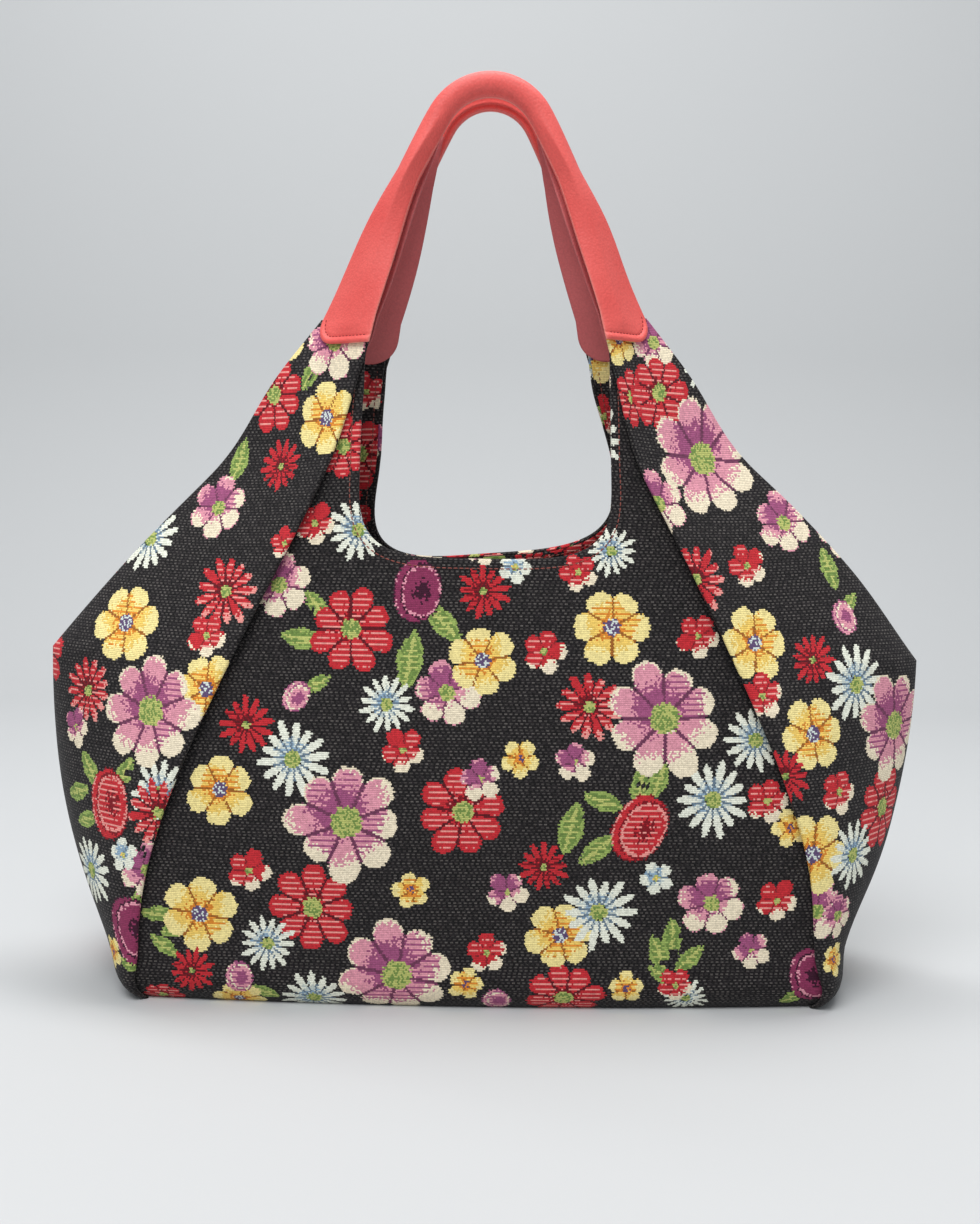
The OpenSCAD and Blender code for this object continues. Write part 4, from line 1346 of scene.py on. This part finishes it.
BEND_Y, BEND_R = 0.9, 0.5      # where the floor starts to curve up, and the radius of the curve
WALL_TOP = 2.4
BACKDROP_HALF = 3.0
BACKDROP_DROP = 0.0002         # keeps the floor clear of the base


def backdrop():
    """Floor that curves up into the wall behind."""
    turns = np.linspace(0, np.pi / 2, 24)
    line = [(-BACKDROP_HALF, 0.0)]
    line += [(BEND_Y + BEND_R * math.sin(t), BEND_R * (1 - math.cos(t))) for t in turns]
    line.append((BEND_Y + BEND_R, WALL_TOP))
    verts = [(x, y, z - BACKDROP_DROP) for y, z in line for x in (-BACKDROP_HALF, BACKDROP_HALF)]
    faces = [(2 * i, 2 * i + 1, 2 * i + 3, 2 * i + 2) for i in range(len(line) - 1)]
    obj = link("backdrop", verts, faces)
    mat, g = new_material("backdrop")
    g.surface({"Base Color": (0.57, 0.58, 0.585, 1), "Roughness": 0.9})
    obj.data.materials.append(mat)


backdrop()


def area_light(name, place, target, size, power):
    data = bpy.data.lights.new(name, "AREA")
    data.shape = "RECTANGLE"
    data.size, data.size_y = size
    data.energy = power
    obj = bpy.data.objects.new(name, data)
    bpy.context.scene.collection.objects.link(obj)
    obj.location = place
    aim = np.array(target) - np.array(place)
    away = math.hypot(aim[0], aim[1])
    obj.rotation_euler = (math.atan2(away, -aim[2]), 0, math.atan2(-aim[0], aim[1]))


area_light("key", place=(-0.35, -1.1, 1.8), target=(0, 0, 0.2), size=(1.4, 0.9), power=26)
area_light("top", place=(0.1, 0.32, 2.1), target=(0, 0, 0.1), size=(1.8, 0.5), power=27)
world = bpy.data.worlds.new("world")
world.use_nodes = True
world.node_tree.nodes["Background"].inputs["Color"].default_value = (0.92, 0.96, 1.0, 1)
world.node_tree.nodes["Background"].inputs["Strength"].default_value = 0.44
bpy.context.scene.world = world
bpy.context.scene.view_settings.view_transform = "Standard"

# Materials

GAP_DARK = linear(34, 24, 28)  # between two petals
SUN = math.radians(-60)        # the petals on this side of a flower are the pale ones
TABLE_SCALE = 16.0             # keeps the numbers in the ramps below 1
NUMBER_GROUPS = ((0, 4), (4, 7), (7, 11), (11, 14))    # numbers of a flower that share a ramp


def kind_ramp(g, kind, colours):
    """Colour and alpha that change with the kind."""
    made = g.node("ShaderNodeValToRGB", {"Fac": kind})
    made.color_ramp.interpolation = "CONSTANT"
    stops = made.color_ramp.elements
    for i, colour in enumerate(colours):
        stop = stops[i] if i < 2 else stops.new(i / len(colours))
        stop.position = i / len(colours)
        stop.color = colour
    return made.outputs["Color"], made.outputs["Alpha"]


def kind_numbers(g, kind):
    """The numbers of the kind, from ramps that hold up to four of them."""
    found = []
    for first, last in NUMBER_GROUPS:
        spare = [0.0] * (4 + first - last)
        rows = [[n / TABLE_SCALE for n in row[first:last]] + spare for row in FLOWERS.values()]
        colour, alpha = kind_ramp(g, kind, rows)
        sockets = [*g.node("ShaderNodeSeparateColor", {"Color": colour}).outputs, alpha]
        found += [g.math("MULTIPLY", s, TABLE_SCALE) for s in sockets[:last - first]]
    return found


def kind_colours(g, kind):
    rows = [[linear(*COLOURS[name]) for name in row[-1].split()] for row in FLOWERS.values()]
    return [kind_ramp(g, kind, column)[0] for column in zip(*rows)]


def motif_group():
    """Node group that draws one flower: whether a thread is in it, and its colour."""
    tree = bpy.data.node_groups.new("motif", "ShaderNodeTree")
    for way, name, kind in (("INPUT", "Thread", "Vector"), ("INPUT", "Odd", "Float"),
                            ("INPUT", "Chance", "Float"), ("INPUT", "Place", "Vector"),
                            ("INPUT", "Style", "Vector"), ("OUTPUT", "Inside", "Float"),
                            ("OUTPUT", "Colour", "Color")):
        tree.interface.new_socket(name, in_out=way, socket_type="NodeSocket" + kind)
    g = Graph(tree)
    m = g.math
    given = g.node("NodeGroupInput").outputs
    odd, chance = Value(g, given["Odd"]), Value(g, given["Chance"])
    u, v, _ = g.parts(given["Thread"])
    cu, cv, radius = g.parts(given["Place"])
    angle, kind, seed = g.parts(given["Style"])
    kind = (kind + 0.5) / len(KINDS)
    (petals, half_wide, middle, half_long, squareness, centre, wobble,
     tone_low, tone_high, rim_from, hatch, lit, vein, rings) = kind_numbers(g, kind)
    near, mid, tip, line, rim, core_one, core_two = kind_colours(g, kind)
    # Place in the flower, turned to its angle, in shares of its radius
    du, dv = (u - cu) / radius, (v - cv) / radius
    cos, sin = m("COSINE", angle), m("SINE", angle)
    x = du * cos + dv * sin
    y = dv * cos - du * sin
    r = m("SQRT", x * x + y * y)
    # Place in its petal
    step = 2 * math.pi / petals
    turns = m("ARCTAN2", y, x) / step
    which = m("ROUND", turns)
    local = (turns - which) * step
    luck = g.chance(g.vector(which % petals, m("FLOOR", seed * 7), 0.5))
    long = r * m("COSINE", local) / (1.0 + (luck - 0.7) * wobble)
    across = r * m("SINE", local)
    side = across / half_wide
    edge = abs((long - middle) / half_long) ** squareness + (abs(across) / half_wide) ** squareness
    loose = chance - 0.5
    in_petal = edge + loose * 0.22 < 1.0
    in_core = r + loose * 0.05 < centre
    # Tone from the petal's foot to its tip, paler on the lit side, along the vein or in rings
    sunward = which * step + angle - SUN
    tone = long + lit * m("COSINE", sunward) - side * m("SINE", sunward) * 0.17
    tone = g.lerp(vein, tone, abs(across) / half_wide)
    tone = g.lerp(rings, tone, m("FRACT", edge * 1.5 + (side * 0.55 + 0.1)))
    tone = tone + loose * 0.26
    colour = g.mix(tone > tone_low, near, mid)
    colour = g.mix(tone > tone_high, colour, tip)
    # Hatching in every third row of threads, round the middle tone
    off = abs(tone - (tone_low + tone_high) * 0.5)
    room = (tone_high - tone_low) * (0.35 + chance * 0.5)
    hatched = odd * ((off < room) * (luck < hatch + 0.2)) * (edge + loose * 0.3 < 0.5)
    colour = g.mix(hatched, colour, line)
    colour = g.mix(edge > rim_from, colour, rim)
    gap = (step * 0.5 - abs(local) < 0.03 / m("MAXIMUM", r, 0.05)) * (petals > 1.5)
    colour = g.mix(gap, colour, g.mix(0.55, near, GAP_DARK))
    colour = g.mix(in_core, colour, g.mix(chance > 0.6, core_one, core_two))
    inside = m("MAXIMUM", in_petal, in_core) * (radius > 0.001)
    g.node("NodeGroupOutput", {"Inside": inside, "Colour": colour})
    return tree


THREAD = 0.95 * MM
DASH_ROW = 1.6 * MM
DASH_PITCH = 2.7 * MM


def tapestry_material():
    mat, g = new_material("tapestry")
    m = g.math
    u, v = g.cloth()
    row = m("FLOOR", v / THREAD)
    column = m("FLOOR", (u + row % 2 * (THREAD / 2)) / THREAD)
    thread = g.vector((column + 0.5) * THREAD, (row + 0.5) * THREAD)
    odd = row % 3 < 0.5
    chance = g.chance(g.vector(column, row, 0.5))
    # Dark ground with pale dashes, staggered from row to row
    dash_row = m("FLOOR", v / DASH_ROW)
    shift = g.chance(g.vector(dash_row, 0.5, 3.5)) * 0.5
    run = u / DASH_PITCH + (dash_row * 0.37 + shift)
    across = abs(m("FRACT", v / DASH_ROW) - 0.5)
    dash = (m("FRACT", run) < 0.55) * (across < 0.24)
    bright = g.chance(g.vector(m("FLOOR", run), dash_row, 7.5))
    colour = g.mix(chance, linear(18, 16, 18), linear(37, 33, 35))
    colour = g.mix(dash * (0.12 + bright * 0.6), colour, linear(112, 107, 103))
    group = motif_group()
    inside = 0.0
    for slot in reversed(range(SLOTS)):
        made = g.node("ShaderNodeGroup", {"Thread": thread, "Odd": odd, "Chance": chance}, node_tree=group)
        for name in ("Place", "Style"):
            given = g.node("ShaderNodeAttribute", attribute_name=f"{name.lower()}_{slot}")
            g.put(made.inputs[name], given.outputs["Vector"])
        colour = g.mix(made.outputs["Inside"], colour, made.outputs["Colour"])
        inside = m("MAXIMUM", inside, made.outputs["Inside"])
    # Each thread is a little lighter or darker at random, and painted darker where it dives: painted shade in
    # the dips between threads
    warp, weft = [abs(m("SINE", way / THREAD * math.pi)) for way in (u, v)]
    relief = weft ** 0.6 * (0.6 + warp * 0.4)
    thread_tone_and_painted_shade = (0.80 + chance * 0.28) * (0.72 + relief * 0.36)
    g.surface({"Base Color": g.scaled(colour, thread_tone_and_painted_shade * (1.0 + inside * 0.13)), "Roughness": 0.88,
               "Normal": g.bump(relief + (chance * 0.35 + inside * 0.8), 0.25 * MM, 0.8),
               "Specular IOR Level": 0.25, "Sheen Weight": 0.08, "Sheen Roughness": 0.4})
    return mat


def leather_material(name, dark, light):
    """Grained leather with a light line along its cut edge."""
    mat, g = new_material(name)
    spot = g.spot()
    cells = g.number("ShaderNodeTexVoronoi", "Distance",
                     {"Vector": spot, "Scale": 1 / (1.1 * MM), "Randomness": 1.0}, feature="SMOOTH_F1")
    wide = g.noise(spot, 1 / (26 * MM), 3.0)
    fine = g.noise(spot, 1 / (0.5 * MM), 3.0)
    grain = g.math("MINIMUM", cells, 0.75) + fine * 0.25
    edge = g.number("ShaderNodeAttribute", "Fac", attribute_name="edge")
    colour = g.mix(wide * 0.7 + fine * 0.3, dark, light)
    colour = g.mix(edge * 0.7, colour, linear(232, 158, 146))
    # Painted shade: the grain is darker in its valleys
    g.surface({"Base Color": g.scaled(colour, 1.06 - cells * 0.2), "Roughness": 0.4 + wide * 0.2,
               "Normal": g.bump(1.0 - grain, 0.24 * MM, 0.8), "Specular IOR Level": 0.4})
    return mat


def weave_material(name, dark, light, pitch):
    """Plain weave of two shades, by the cloth coordinates."""
    mat, g = new_material(name)
    u, v = g.cloth()
    warp, weft = [g.math("SINE", way * (2 * math.pi / pitch)) for way in (u, v)]
    height = warp * weft * 0.5 + 0.5
    wide = g.noise(g.vector(u, v), 40.0, 4.0)
    slub = g.noise(g.vector(u * 60.0, v * 1400.0), 1.0)
    tone = wide * 0.5 + (slub * 0.3 + height * 0.25)
    g.surface({"Base Color": g.mix(tone, dark, light), "Roughness": 0.9, "Sheen Weight": 0.1,
               "Normal": g.bump(height + slub * 0.4, 0.12 * MM, 0.7)})
    return mat


def metal_material(name, dark, light, rough):
    """Plated metal, a little uneven."""
    mat, g = new_material(name)
    spot = g.spot()
    wide = g.noise(spot, 300.0, 3.0)
    fine = g.noise(spot, 4000.0)
    g.surface({"Base Color": g.mix(wide, dark, light), "Roughness": rough - 0.08 + fine * 0.2,
               "Normal": g.bump(fine, 0.02 * MM, 0.5), "Metallic": 1.0})
    return mat


def fibre_material(name, dark, light, scale, rough):
    """Matte fibre board, cord or thread, mottled by fine fibres."""
    mat, g = new_material(name)
    fibres = g.noise(g.spot(), scale, 6.0, 0.7)
    g.surface({"Base Color": g.mix(fibres, dark, light), "Roughness": rough,
               "Normal": g.bump(fibres, 0.2 * MM, 0.6)})
    return mat


def give(pieces, mat):
    for piece in pieces:
        piece.data.materials.clear()
        piece.data.materials.append(mat)


washers = [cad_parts[name] for name in ("snap_socket_washer", "snap_stud_washer")]
nickel = linear(206, 203, 196)
dark_nickel = (*[c * 0.85 for c in nickel[:3]], 1.0)
give([front_panel, back_panel, front_facing, back_facing, base_panel], tapestry_material())
give([front_lining, back_lining, slip_pocket, base_lining],
     weave_material("lining", linear(96, 26, 32), linear(138, 44, 50), 0.9 * MM))
give(handles, leather_material("leather", linear(220, 70, 66), linear(248, 114, 107)))
# The backings' leather is a darker, more mauve copy of the handles' leather: painted shade for the shade the
# backings lie in behind the straps
give(backings, leather_material("backing_leather_painted_shade", linear(182, 84, 86), linear(208, 108, 108)))
give([socket, stud] + washers, metal_material("nickel", dark_nickel, nickel, 0.28))
for pieces, name, dark, light, scale, rough in (
        (mouth_stitches, "seam_thread", (118, 56, 50), (158, 88, 76), 1800.0, 0.8),
        (tab_stitches, "strap_thread", (132, 24, 30), (168, 40, 42), 1800.0, 0.7),
        ([pocket_stitches], "lining_thread", (120, 34, 40), (160, 58, 62), 1800.0, 0.8),
        ([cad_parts["base_board"]], "board", (140, 134, 122), (176, 170, 158), 700.0, 0.8),
        (cores, "cord", (214, 206, 186), (236, 230, 214), 1600.0, 0.95)):
    give(pieces, fibre_material(name, linear(*dark), linear(*light), scale, rough))
